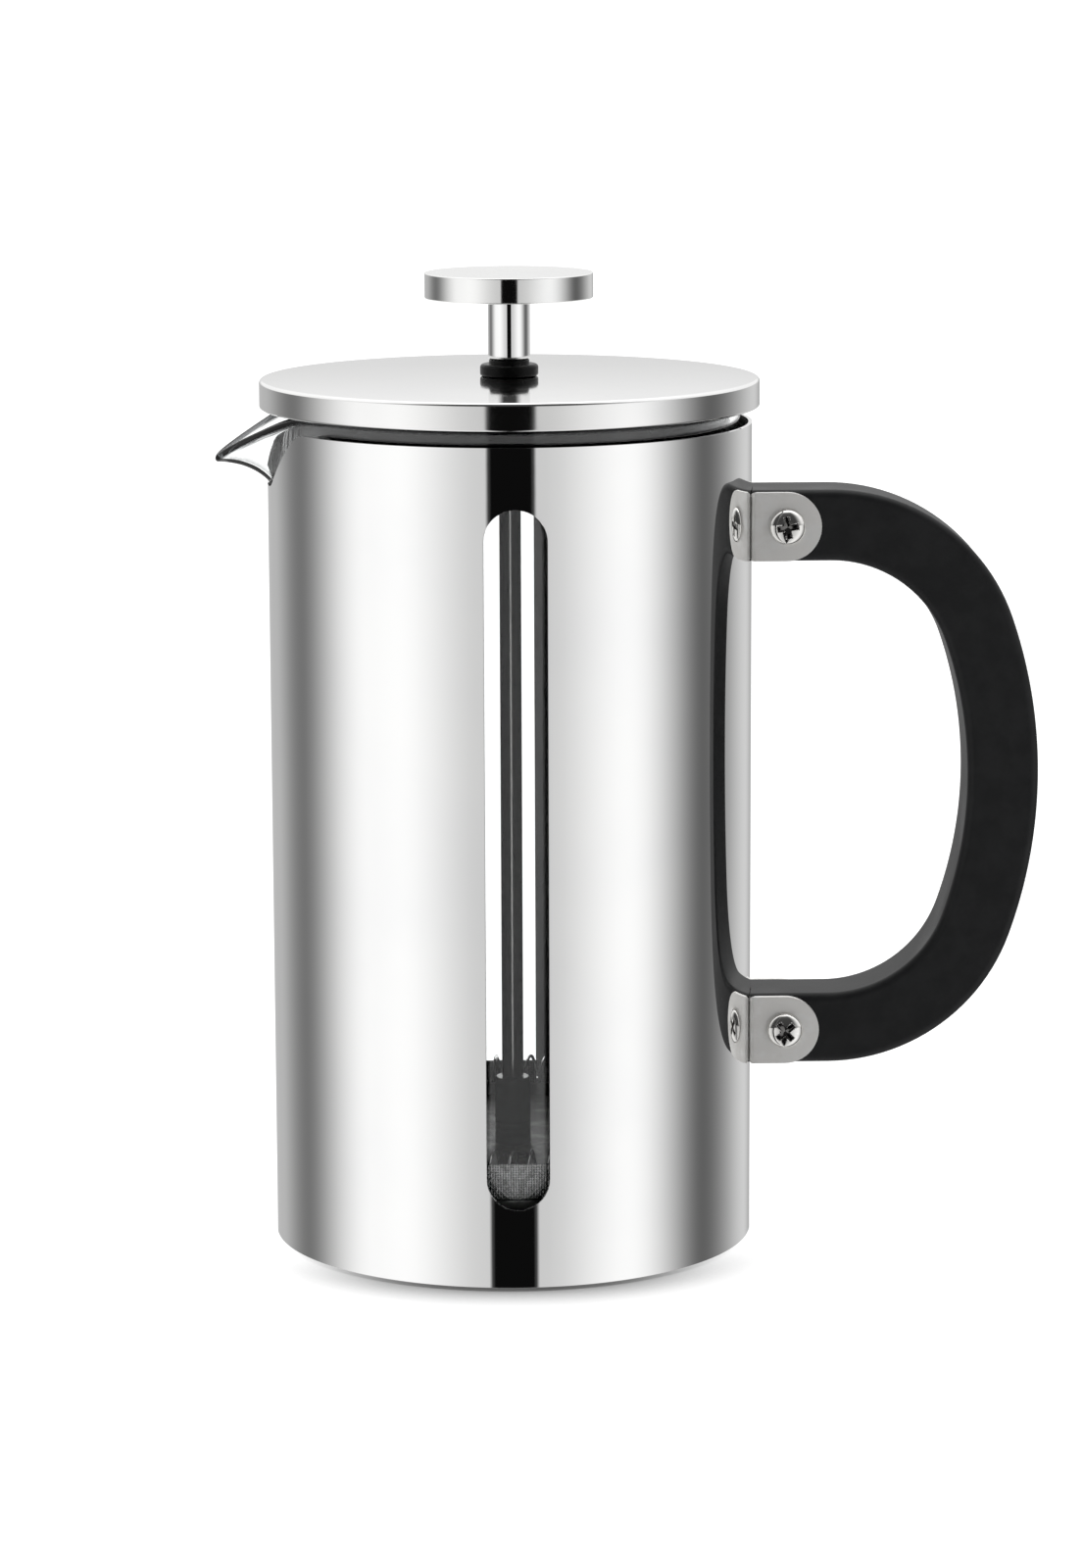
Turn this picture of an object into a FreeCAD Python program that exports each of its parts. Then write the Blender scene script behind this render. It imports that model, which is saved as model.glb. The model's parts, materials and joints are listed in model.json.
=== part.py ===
# French press: glass beaker in a slotted steel sleeve, band handle in two riveted saddles,
# disc lid and a plunger with a spring-edged filter.  Millimetres, +Z up.
# Origin: centre of the foot pad's underside.  +X is the handle, -X the spout, -Y the front.
import FreeCAD, Part
import math
import os
import re

import Sketcher

V = FreeCAD.Vector
doc = FreeCAD.newDocument("FrenchPress")

# ---------------------------------------------------------------- driving sizes
sizes = {
    # sleeve, windows and spout notch
    "sleeveDiameter": 100.0,
    "sleeveWall": 0.8,
    "sleeveFoot": 0.8,
    "sleeveTop": 171.4,
    "windowWidth": 12.8,
    "windowBottom": 16.9,
    "windowBelowTop": 12.3,
    "notchDepth": 12.2,
    "notchFloorWidth": 19.8,
    "notchMouthSide": 4.0,
    "notchRound": 6.0,
    # base
    "padInset": 7.0,
    "padThickness": 1.6,
    "basePlateThickness": 0.8,
    "cushionInset": 5.5,
    "cushionWidth": 11.0,
    "cushionThickness": 2.0,
    # beaker
    "beakerGap": 1.7,
    "glassWall": 2.0,
    "glassFloor": 3.0,
    "heelRound": 6.0,
    "rimAboveSleeve": 3.6,
    "spoutBeyondSleeve": 10.7,
    "spoutTipDrop": 10.0,
    "spoutRootDrop": 20.0,
    "spoutHalfWidth": 21.0,
    "beakTuck": 6.0,
    "rimRunout": 1.0,
    # handle
    "handleBelowTop": 13.9,
    "handleBottom": 36.8,
    "handleBeyondSleeve": 59.5,
    "handleStraight": 16.0,
    "handleShoulderRound": 40.0,
    "handleBand": 14.75,
    "handleWidth": 16.0,
    "handleEdge": 1.6,
    "handleGap": 0.4,
    "handleTuck": 4.0,
    # saddle brackets, screws, inserts and rivets
    "bracketSheet": 1.2,
    "bracketHeight": 14.2,
    "bracketBend": 1.0,
    "bracketTuck": 2.0,
    "handleScrewOut": 6.8,
    "screwHead": 7.6,
    "screwHeadHeight": 2.1,
    "screwShank": 4.0,
    "screwGrip": 6.0,
    "recessSpan": 4.4,
    "recessWidth": 1.2,
    "recessDepth": 1.3,
    "insertWall": 1.2,
    "rivetOffset": 4.4,
    "rivetShank": 3.0,
    "rivetHead": 5.6,
    "rivetHeadHeight": 0.7,
    "rivetSeatGap": 0.1,
    "rivetSink": 0.8,
    "rivetSinkWidth": 4.6,
    "holeClearance": 0.15,
    # how far a cutting tool runs past what it cuts
    "toolReach": 10.0,
    # lid
    "lidOverhang": 1.55,
    "lidHeight": 6.0,
    "lidAboveRim": -0.3,
    "lidSheet": 0.8,
    "lidLip": 1.2,
    "lidRound": 0.7,
    "insertGap": 0.4,
    "insertRim": 1.5,
    "ceilingThickness": 1.6,
    "collarGap": 0.9,
    "collarWall": 1.6,
    "collarDepth": 12.0,
    "slitWidth": 1.4,
    "slitHeight": 7.0,
    "slitPitch": 5.0,
    # bush, rod, ferrule and knob
    "rodDiameter": 4.5,
    "rodThread": 4.0,
    "runningClearance": 0.05,
    "restGap": 0.1,
    "bushWall": 1.85,
    "bushFlangeWidth": 1.85,
    "bushFlangeThickness": 2.5,
    "bushNeckHeight": 0.95,
    "bushLipWidth": 1.45,
    "bushLipThickness": 1.1,
    "bushRoom": 1.0,
    "ferruleWall": 2.03,
    "ferruleLength": 12.5,
    "knobDiameter": 34.7,
    "knobThickness": 5.2,
    "knobEdge": 0.3,
    "threadDepth": 3.8,
    # filter pack
    "filterAboveFloor": 9.6,
    "filterGap": 0.3,
    "crossPlateThickness": 0.7,
    "crossPlateInset": 1.2,
    "crossPlateRim": 1.2,
    "meshThickness": 0.3,
    "meshSkirt": 7.8,
    "springPlateThickness": 0.6,
    "springPlateRim": 2.6,
    "flowMargin": 7.5,
    "flowHoleOuter": 3.2,
    "flowHoleMiddle": 3.6,
    "flowHoleInner": 2.4,
    "coilDiameter": 6.4,
    "coilWall": 0.6,
    "hubWall": 1.7,
    "hubHeight": 14.3,
    "filterScrewHead": 6.6,
    "filterScrewHeadHeight": 1.8,
    "filterScrewShank": 3.0,
    "filterScrewLength": 7.0,
}
slitCount = 9
flowCounts = {"Outer": 16, "Middle": 8, "Inner": 4}
# how far each level's screw recesses are turned, in degrees
recessTurns = {"upper": 4, "lower": 42}

sheet = doc.addObject("Spreadsheet::Sheet", "Sizes")
for rowNumber, (alias, number) in enumerate(sizes.items(), start=1):
    sheet.set("A%d" % rowNumber, alias)
    sheet.set("B%d" % rowNumber, "%.4f" % number)
    sheet.setAlias("B%d" % rowNumber, alias)
doc.recompute()

# sizes that follow from the driving ones, in the sheet's own words
derived = {
    "sleeveOuter": "sleeveDiameter / 2",
    "sleeveInner": "sleeveOuter - sleeveWall",
    "windowTop": "sleeveTop - windowBelowTop",
    "notchBottom": "sleeveTop - notchDepth",
    "notchMouth": "spoutHalfWidth + notchMouthSide",
    "padOuter": "sleeveOuter - padInset",
    "plateTop": "padThickness + basePlateThickness",
    "beakerBottom": "plateTop + cushionThickness",
    "floorTop": "beakerBottom + glassFloor",
    "glassOuter": "sleeveInner - beakerGap",
    "glassInner": "glassOuter - glassWall",
    "cushionOuter": "glassOuter - cushionInset",
    "rimHeight": "sleeveTop + rimAboveSleeve",
    "spoutReach": "sleeveOuter + spoutBeyondSleeve",
    "spoutTip": "rimHeight - spoutTipDrop",
    "spoutRoot": "rimHeight - spoutRootDrop",
    "handleTop": "sleeveTop - handleBelowTop",
    "handleMiddle": "(handleTop + handleBottom) / 2",
    "handleShoulder": "sleeveOuter + handleStraight",
    "handleReach": "sleeveOuter + handleBeyondSleeve",
    "handleStart": "sleeveOuter - handleTuck",
    "handleArm": "handleReach - handleShoulderRound",
    "gripRise": "handleTop - handleShoulderRound - handleMiddle",
    "gripX": "(handleArm^2 - handleShoulder^2 - gripRise^2) / (2 * (handleArm - handleShoulder))",
    "handleFace": "handleWidth / 2",
    "upperArm": "handleTop - handleBand / 2",
    "lowerArm": "handleBottom + handleBand / 2",
    "bracketOuter": "sleeveOuter + bracketSheet",
    "handleScrewX": "sleeveOuter + handleScrewOut",
    "rivetAngle": "rivetOffset / sleeveOuter * 1 rad",
    "rivetHole": "rivetShank / 2 + runningClearance",
    "rivetGrip": "bracketSheet + sleeveWall + rivetSeatGap",
    "shankHole": "screwShank / 2 + holeClearance",
    "insertOuter": "screwShank / 2 + insertWall",
    "lidBottom": "rimHeight + lidAboveRim",
    "lidTop": "lidBottom + lidHeight",
    "lidUnder": "lidTop - lidSheet",
    "lidOuter": "sleeveOuter + lidOverhang",
    "insertOuterRim": "lidOuter - lidLip - insertGap",
    "collarOuter": "glassInner - collarGap",
    "collarBottom": "rimHeight - collarDepth",
    "rodBore": "rodDiameter / 2 + runningClearance",
    "threadBore": "rodThread / 2 + runningClearance",
    "bushNeck": "rodBore + bushWall",
    "bushFlange": "bushNeck + bushFlangeWidth",
    "bushLip": "bushNeck + bushLipWidth",
    "bushSeat": "lidTop + runningClearance",
    "bushTop": "bushSeat + bushFlangeThickness + bushNeckHeight",
    "knobBottom": "bushTop + restGap + ferruleLength",
    "knobTop": "knobBottom + knobThickness",
    "filterBottom": "floorTop + filterAboveFloor",
    "meshBottom": "filterBottom + crossPlateThickness",
    "meshTop": "meshBottom + meshThickness",
    "meshRadius": "glassInner - filterGap",
    "crossRadius": "meshRadius - crossPlateInset",
    "hubBottom": "meshTop + springPlateThickness",
    "hubTop": "hubBottom + hubHeight",
    "hubRadius": "threadBore + hubWall",
    "coilCentre": "meshRadius - meshThickness - coilDiameter / 2",
    "coilHeight": "hubBottom + springPlateRim + coilDiameter / 2",
    "plateEdge": "coilCentre + springPlateThickness / 2",
}
words = re.compile(r"[A-Za-z_]\w*")


def written(text):
    """An expression in the sheet's words, with derived words written out in full."""
    def swap(found):
        word = found.group(0)
        if word in derived:
            return "(" + written(derived[word]) + ")"
        if word in sizes:
            return "Sizes." + word
        return word
    return words.sub(swap, text)


def worth(text):
    """The number that an expression in the sheet's words comes to."""
    answer = sheet.evalExpression(written(text))
    return float(getattr(answer, "Value", answer))


def bind(thing, prop, text):
    thing.setExpression(prop, written(text))


# ---------------------------------------------------------------- modelling helpers
def newBody(label):
    return doc.addObject("PartDesign::Body", label)


def sketchOn(body, role, name="Outline"):
    """A sketch flat on one of the body's own origin planes."""
    sketch = body.newObject("Sketcher::SketchObject", name)
    plane = [item for item in body.Origin.OriginFeatures if item.Role == role][0]
    sketch.AttachmentSupport = [(plane, "")]
    sketch.MapMode = "FlatFace"
    return sketch


def tie(sketch, kind, text, *places):
    """A sketch dimension that follows an expression."""
    number = sketch.addConstraint(Sketcher.Constraint(kind, *places, worth(text)))
    sketch.setExpression("Constraints[%d]" % number, written(text))


def pin(sketch, index, point, across, up):
    """Ties a sketch point to two expressions, measured from the sketch's origin."""
    tie(sketch, "DistanceX", across, -1, 1, index, point)
    tie(sketch, "DistanceY", up, -1, 1, index, point)


def polygon(sketch, corners):
    """A closed outline of straight lines, with every corner tied to its expressions."""
    places = [V(worth(across), worth(up), 0) for across, up in corners]
    first = sketch.GeometryCount
    count = len(corners)
    for i in range(count):
        sketch.addGeometry(Part.LineSegment(places[i], places[(i + 1) % count]))
    for i in range(count):
        following = first + (i + 1) % count
        sketch.addConstraint(Sketcher.Constraint("Coincident", first + i, 2, following, 1))
    for i, (across, up) in enumerate(corners):
        pin(sketch, first + i, 1, across, up)


def ring(sketch, across, up, radius):
    """A circle with its centre and radius tied to expressions."""
    centre = V(worth(across), worth(up), 0)
    index = sketch.addGeometry(Part.Circle(centre, V(0, 0, 1), worth(radius)))
    tie(sketch, "Radius", radius, index)
    pin(sketch, index, 3, across, up)


def revolve(body, corners):
    """Turns an outline of (radius, height) corners about the body's Z axis."""
    sketch = sketchOn(body, "XZ_Plane")
    polygon(sketch, corners)
    turned = body.newObject("PartDesign::Revolution", "Turned")
    turned.Profile = sketch
    turned.ReferenceAxis = (sketch, ["V_Axis"])
    turned.Angle = 360
    doc.recompute()
    return turned


def pad(body, sketch, length, midplane=False, backwards=False):
    grown = body.newObject("PartDesign::Pad", "Grown")
    grown.Profile = sketch
    bind(grown, "Length", length)
    grown.Midplane = midplane
    grown.Reversed = backwards
    doc.recompute()
    return grown


def pocket(body, sketch, length, midplane=False, backwards=False):
    """Cuts a sketch into the body, and makes sure that it took something away."""
    before = body.Shape.Volume
    hollow = body.newObject("PartDesign::Pocket", "Cut")
    hollow.Profile = sketch
    bind(hollow, "Length", length)
    hollow.Midplane = midplane
    hollow.Reversed = backwards
    doc.recompute()
    if hollow.Shape.Volume > before - 1e-6:
        raise RuntimeError("a pocket in %s cuts nothing" % body.Label)
    return hollow


def polar(body, feature, count, angle="360"):
    pattern = body.newObject("PartDesign::PolarPattern", "Around")
    pattern.Originals = [feature]
    axis = [item for item in body.Origin.OriginFeatures if item.Role == "Z_Axis"][0]
    pattern.Axis = (axis, [""])
    bind(pattern, "Angle", angle)
    pattern.Occurrences = count
    body.Tip = pattern
    doc.recompute()
    return pattern


def edgesWhere(shape, test):
    return ["Edge%d" % (i + 1) for i, edge in enumerate(shape.Edges) if test(edge)]


def rounded(body, feature, radius, test, kind="PartDesign::Fillet"):
    """Rounds the edges of a feature that pass a test."""
    names = edgesWhere(feature.Shape, test)
    if not names:
        raise RuntimeError("no edge to round in %s" % body.Label)
    fillet = body.newObject(kind, "Rounded")
    fillet.Base = (feature, names)
    bind(fillet, "Radius" if kind.endswith("Fillet") else "Size", radius)
    doc.recompute()
    return fillet


def circleAt(*corners):
    """A test for the circular edges that the given (radius, height) corners turn into."""
    places = [(worth(radius), worth(height)) for radius, height in corners]

    def test(edge):
        if not isinstance(edge.Curve, Part.Circle):
            return False
        here = (edge.Curve.Radius, edge.Curve.Center.z)
        return any(math.dist(here, place) < 1e-4 for place in places)
    return test


def cylinder(label, radius, height, base=("0", "0", "0"), direction=V(0, 0, 1)):
    """A round bar from a base point along a direction."""
    bar = doc.addObject("Part::Cylinder", label)
    bind(bar, "Radius", radius)
    bind(bar, "Height", height)
    bar.Placement = FreeCAD.Placement(V(), FreeCAD.Rotation(V(0, 0, 1), direction))
    for axis, text in zip("xyz", base):
        bind(bar, "Placement.Base." + axis, text)
    return bar


def box(label, low, span):
    block = doc.addObject("Part::Box", label)
    for prop, text in zip(("Length", "Width", "Height"), span):
        bind(block, prop, text)
    for axis, text in zip("xyz", low):
        bind(block, "Placement.Base." + axis, text)
    return block


def joined(kind, label, shapes):
    """A boolean of several objects: Part::MultiFuse or Part::MultiCommon."""
    whole = doc.addObject(kind, label)
    whole.Shapes = shapes
    doc.recompute()
    return whole


def less(label, base, tool):
    rest = doc.addObject("Part::Cut", label)
    rest.Base = base
    rest.Tool = tool
    doc.recompute()
    return rest


def tube(label, outer, inner, low, height):
    """A round tube about the Z axis."""
    solid = cylinder(label + "Outer", outer, height, ("0", "0", low))
    core = cylinder(label + "Core", inner, height, ("0", "0", low))
    return less(label, solid, core)


# each node's name and the object that holds its shape
nodes = {}


def keep(label, thing):
    thing.Label = label
    nodes[label] = thing
    return thing


sides = (("front", -1), ("rear", 1))
levels = (("upper", "upperArm"), ("lower", "lowerArm"))


def outward(side):
    """The direction from the pot's axis to a rivet."""
    angle = math.radians(worth("rivetAngle"))
    return V(math.cos(angle), side * math.sin(angle), 0)


def onRivet(side, distance, arm):
    """A place on a rivet's axis, at a distance from the pot's axis, as expressions."""
    return ("(%s) * cos(rivetAngle)" % distance, "%d * (%s) * sin(rivetAngle)" % (side, distance), arm)


# ---------------------------------------------------------------- sleeve and base
def makeSleeve():
    """Steel tube with a rounded slot front and rear, and a notch for the spout."""
    body = newBody("SleeveTube")
    revolve(body, [
        ("sleeveInner", "sleeveFoot"), ("sleeveOuter", "sleeveFoot"),
        ("sleeveOuter", "sleeveTop"), ("sleeveInner", "sleeveTop")])
    slot = sketchOn(body, "XZ_Plane", "Window")
    half = worth("windowWidth / 2")
    low = worth("windowBottom") + half
    high = worth("windowTop") - half
    slot.addGeometry(Part.LineSegment(V(half, low, 0), V(half, high, 0)))
    slot.addGeometry(Part.ArcOfCircle(Part.Circle(V(0, high, 0), V(0, 0, 1), half), 0, math.pi))
    slot.addGeometry(Part.LineSegment(V(-half, high, 0), V(-half, low, 0)))
    slot.addGeometry(Part.ArcOfCircle(Part.Circle(V(0, low, 0), V(0, 0, 1), half), math.pi, 2 * math.pi))
    for here, there in ((0, 1), (1, 2), (2, 3), (3, 0)):
        slot.addConstraint(Sketcher.Constraint("Tangent", here, 2, there, 1))
    pin(slot, 1, 3, "0", "windowTop - windowWidth / 2")
    pin(slot, 3, 3, "0", "windowBottom + windowWidth / 2")
    tie(slot, "Radius", "windowWidth / 2", 1)
    pocket(body, slot, "sleeveDiameter + toolReach", midplane=True)

    tool = newBody("SpoutNotch")
    notch = sketchOn(tool, "YZ_Plane")
    floor = "notchFloorWidth / 2"
    wide = "notchMouth * 2"
    above = "sleeveTop + toolReach"
    polygon(notch, [
        ("-" + floor, "notchBottom"), (floor, "notchBottom"), ("notchMouth", "sleeveTop"),
        (wide, "sleeveTop"), (wide, above), ("-" + wide, above),
        ("-" + wide, "sleeveTop"), ("-notchMouth", "sleeveTop")])
    prism = pad(tool, notch, "sleeveDiameter", backwards=True)
    reach = worth("notchMouth") + 1

    def corner(edge):
        middle = edge.BoundBox.Center
        return edge.BoundBox.XLength > 1 and middle.z < worth("sleeveTop") + 1e-4 and abs(middle.y) < reach
    rounded(tool, prism, "notchRound", corner)
    if prism.Shape.BoundBox.XMax > 1e-6:
        raise RuntimeError("the notch faces the handle")
    drills = []
    for level, arm in levels:
        for name, side in sides:
            drills.append(cylinder(
                level + name + "Drill", "rivetHole", "toolReach",
                onRivet(side, "sleeveOuter - toolReach / 2", arm), outward(side)))
    cuts = joined("Part::MultiFuse", "SleeveCuts", [tool] + drills)
    keep("sleeve", less("Sleeve", body, cuts))


def makeBase():
    """Steel floor plate in the sleeve, a foot pad under it and a cushion on it."""
    plate = newBody("BasePlate")
    revolve(plate, [
        ("0", "padThickness"), ("sleeveInner", "padThickness"),
        ("sleeveInner", "plateTop"), ("0", "plateTop")])
    keep("base_plate", plate)

    foot = newBody("FootPad")
    disc = revolve(foot, [
        ("0", "0"), ("padOuter", "0"),
        ("padOuter", "padThickness"), ("0", "padThickness")])
    rounded(foot, disc, "padThickness / 3", circleAt(("padOuter", "0")), "PartDesign::Chamfer")
    keep("base_pad", foot)

    cushion = newBody("Cushion")
    revolve(cushion, [
        ("cushionOuter - cushionWidth", "plateTop"), ("cushionOuter", "plateTop"),
        ("cushionOuter", "beakerBottom"), ("cushionOuter - cushionWidth", "beakerBottom")])
    keep("beaker_cushion", cushion)


# ---------------------------------------------------------------- beaker
def spoutBeak(label, inset):
    """A beak that grows out of the wall towards -X, as a stack of triangular sections.

    Its lower edge follows a quarter ellipse from the wall out to the tip, and each
    section's half width goes with the root of its height."""
    steps = 7
    tip = worth("spoutReach") - inset
    wall = worth("glassOuter") - inset
    root = worth("spoutRoot") + inset
    crown = worth("spoutTip") + inset / 2
    rim = worth("rimHeight")
    halfWidth = worth("spoutHalfWidth") - inset
    back = worth("glassInner - beakTuck")
    sections = []
    for i in range(1, steps + 1):
        turn = math.pi / 2 * i / steps
        out = tip - (tip - wall) * math.cos(turn)
        height = root + (crown - root) * math.sin(turn)
        sections.append((out, height, halfWidth * math.sqrt((height - root) / (rim - root))))
    sections.append((tip, rim + sizes["toolReach"] / 5, halfWidth))
    wires = []
    for out, height, half in sections:
        corners = [V(-out, 0, height), V(-back, half, height), V(-back, -half, height)]
        wires.append(Part.makePolygon(corners + corners[:1]))
    beak = doc.addObject("Part::Feature", label)
    beak.Shape = Part.makeLoft(wires, True, True)
    return beak


def makeBeaker():
    """Glass beaker with a rounded heel and a pulled-out pouring beak."""
    outside = newBody("GlassOutside")
    full = revolve(outside, [
        ("0", "beakerBottom"), ("glassOuter", "beakerBottom"),
        ("glassOuter", "rimHeight"), ("0", "rimHeight")])
    rounded(outside, full, "heelRound", circleAt(("glassOuter", "beakerBottom")))
    inside = newBody("GlassInside")
    hollow = revolve(inside, [
        ("0", "floorTop"), ("glassInner", "floorTop"),
        ("glassInner", "rimHeight + toolReach"), ("0", "rimHeight + toolReach")])
    rounded(inside, hollow, "heelRound - glassWall / 2",
            circleAt(("glassInner", "floorTop")))
    whole = joined("Part::MultiFuse", "GlassWhole", [outside, spoutBeak("BeakOutside", 0)])
    room = joined("Part::MultiFuse", "GlassRoom", [inside, spoutBeak("BeakInside", sizes["glassWall"])])
    shell = less("GlassShell", whole, room)

    # the rim is level all round and falls away straight to the beak's tip
    slope = newBody("RimSlope")
    wedge = sketchOn(slope, "XZ_Plane")
    start = "-(glassInner - rimRunout)"
    beyond = "-(spoutReach + toolReach)"
    above = "rimHeight + toolReach"
    polygon(wedge, [
        (start, "rimHeight"), (start, above), (beyond, above),
        (beyond, "spoutTip - toolReach / 2"), ("-spoutReach", "spoutTip")])
    pad(slope, wedge, "glassOuter * 2", midplane=True)
    level = box("RimLevel", (beyond, "-glassOuter", "rimHeight"),
                ("spoutReach * 2", "glassOuter * 2", "toolReach"))
    keep("glass_beaker", less("Beaker", shell, joined("Part::MultiFuse", "RimTrim", [slope, level])))


# ---------------------------------------------------------------- handle and fastenings
def handleSide(sketch, inset):
    """One edge of the band: straight, shoulder, grip, shoulder, straight.

    The grip's centre is placed so that it is tangent to both shoulders and its far
    side touches the handle's reach.  Both edges of the band share their centres."""
    shoulder = worth("handleShoulderRound - " + inset)
    grip = worth("handleReach - gripX - " + inset)
    low = worth("handleBottom + " + inset)
    high = worth("handleTop - " + inset)
    start = worth("handleStart")
    turnX = worth("handleShoulder")
    gripX = worth("gripX")
    lean = math.atan2(worth("gripRise"), turnX - gripX)
    upper = V(turnX, high - shoulder, 0)
    lower = V(turnX, low + shoulder, 0)
    middle = V(gripX, worth("handleMiddle"), 0)
    first = sketch.GeometryCount
    up = V(0, 0, 1)
    sketch.addGeometry([
        Part.LineSegment(V(start, low, 0), V(turnX, low, 0)),
        Part.ArcOfCircle(Part.Circle(lower, up, shoulder), -math.pi / 2, -lean),
        Part.ArcOfCircle(Part.Circle(middle, up, grip), -lean, lean),
        Part.ArcOfCircle(Part.Circle(upper, up, shoulder), lean, math.pi / 2),
        Part.LineSegment(V(turnX, high, 0), V(start, high, 0))])
    for i in range(4):
        sketch.addConstraint(Sketcher.Constraint("Tangent", first + i, 2, first + i + 1, 1))
    tie(sketch, "Radius", "handleShoulderRound - " + inset, first + 1)
    pin(sketch, first, 1, "handleStart", "handleBottom + " + inset)
    pin(sketch, first + 1, 3, "handleShoulder", "handleBottom + handleShoulderRound")
    pin(sketch, first + 2, 3, "gripX", "handleMiddle")
    pin(sketch, first + 3, 3, "handleShoulder", "handleTop - handleShoulderRound")
    pin(sketch, first + 4, 2, "handleStart", "handleTop - " + inset)
    return first


def makeHandle():
    """Black band of constant width, hollowed to follow the saddles and bored for its inserts."""
    body = newBody("HandleBand")
    sketch = sketchOn(body, "XZ_Plane")
    outer = handleSide(sketch, "0")
    inner = handleSide(sketch, "handleBand")
    # a straight line closes the band at the start of each arm
    for here, there, point in ((outer, inner, 1), (outer + 4, inner + 4, 2)):
        line = sketch.addGeometry(Part.LineSegment(
            sketch.getPoint(here, point), sketch.getPoint(there, point)))
        sketch.addConstraint(Sketcher.Constraint("Coincident", here, point, line, 1))
        sketch.addConstraint(Sketcher.Constraint("Coincident", there, point, line, 2))
    doc.recompute()
    if not sketch.FullyConstrained:
        raise RuntimeError("the handle's outline is loose")
    band = pad(body, sketch, "handleWidth", midplane=True)
    half = worth("handleFace")

    def alongBand(edge):
        bounds = edge.BoundBox
        return bounds.YLength < 1e-6 and abs(abs(bounds.YMin) - half) < 1e-4 and bounds.XLength > 1
    rounded(body, band, "handleEdge", alongBand)
    cuts = [cylinder("HandleSeat", "bracketOuter + handleGap", "sleeveTop")]
    for level, arm in levels:
        cuts.append(cylinder(level + "InsertBore", "insertOuter", "handleWidth * 2",
                             ("handleScrewX", "-handleWidth", arm), V(0, 1, 0)))
    keep("handle", less("Handle", body, joined("Part::MultiFuse", "HandleCuts", cuts)))
    for level, arm in levels:
        bar = cylinder(level + "InsertBar", "insertOuter", "handleWidth",
                       ("handleScrewX", "-handleFace", arm), V(0, 1, 0))
        bore = cylinder(level + "InsertThread", "screwShank / 2", "handleWidth",
                        ("handleScrewX", "-handleFace", arm), V(0, 1, 0))
        keep(level + "_handle_insert", less(level + "Insert", bar, bore))


def makeBracket(level, arm):
    """Sheet saddle: a curved web on the sleeve, and a round-nosed leg each side of the handle."""
    low = arm + " - bracketHeight / 2"
    span = "handleWidth + bracketSheet * 2"
    face = "-(handleFace + bracketSheet)"
    block = box(level + "Block", ("sleeveOuter - bracketTuck", face, low),
                ("handleScrewOut + bracketTuck", span, "bracketHeight"))
    nose = cylinder(level + "Nose", "bracketHeight / 2", span, ("handleScrewX", face, arm), V(0, 1, 0))
    core = cylinder(level + "Core", "sleeveOuter", "bracketHeight", ("0", "0", low))
    solid = less(level + "Solid", joined("Part::MultiFuse", level + "Blank", [block, nose]), core)

    # the bends are the upright edges where the legs' outer faces meet the sleeve
    cornerY = worth("handleFace + bracketSheet")
    cornerX = math.sqrt(worth("sleeveOuter") ** 2 - cornerY ** 2)

    def bendLine(edge):
        middle = edge.BoundBox.Center
        return edge.BoundBox.ZLength > 1 and math.dist((middle.x, abs(middle.y)), (cornerX, cornerY)) < 0.05
    radius = sizes["bracketBend"]
    bend = doc.addObject("Part::Fillet", level + "Bend")
    bend.Base = solid
    bend.Edges = [(int(found[4:]), radius, radius) for found in edgesWhere(solid.Shape, bendLine)]

    # the handle's room between the legs stops at the web
    gap = box(level + "Gap", ("sleeveOuter - bracketTuck", "-handleFace", low),
              ("handleScrewOut + bracketTuck + bracketHeight", "handleWidth", "bracketHeight"))
    web = cylinder(level + "Web", "bracketOuter", "bracketHeight", ("0", "0", low))
    tools = [less(level + "Room", gap, web),
             cylinder(level + "ScrewHole", "shankHole", "handleWidth * 2", ("handleScrewX", "-handleWidth", arm),
                      V(0, 1, 0))]
    for name, side in sides:
        tools.append(cylinder(level + name + "RivetHole", "rivetHole", "toolReach / 2",
                              onRivet(side, "sleeveOuter - bracketTuck", arm), outward(side)))
        sink = doc.addObject("Part::Cone", level + name + "Sink")
        bind(sink, "Radius1", "rivetHole")
        bind(sink, "Radius2", "rivetSinkWidth / 2 + runningClearance")
        bind(sink, "Height", "rivetSink + runningClearance")
        sink.Placement = FreeCAD.Placement(V(), FreeCAD.Rotation(V(0, 0, 1), outward(side)))
        for axis, text in zip("xyz", onRivet(side, "bracketOuter - rivetSink", arm)):
            bind(sink, "Placement.Base." + axis, text)
        tools.append(sink)
    keep(level + "_bracket", less(level + "Bracket", bend, joined("Part::MultiFuse", level + "Tools", tools)))


def crossCorners(long, short):
    """The twelve corners of a plus shape, from its half length and half width."""
    quarter = ((long, "-" + short), (long, short), (short, short))
    corners = []
    for _ in range(4):
        corners += quarter
        # each next quarter is the last one turned a right angle
        quarter = [(turned(up), across) for across, up in quarter]
    return corners


def turned(text):
    return text[1:] if text.startswith("-") else "-" + text


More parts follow.
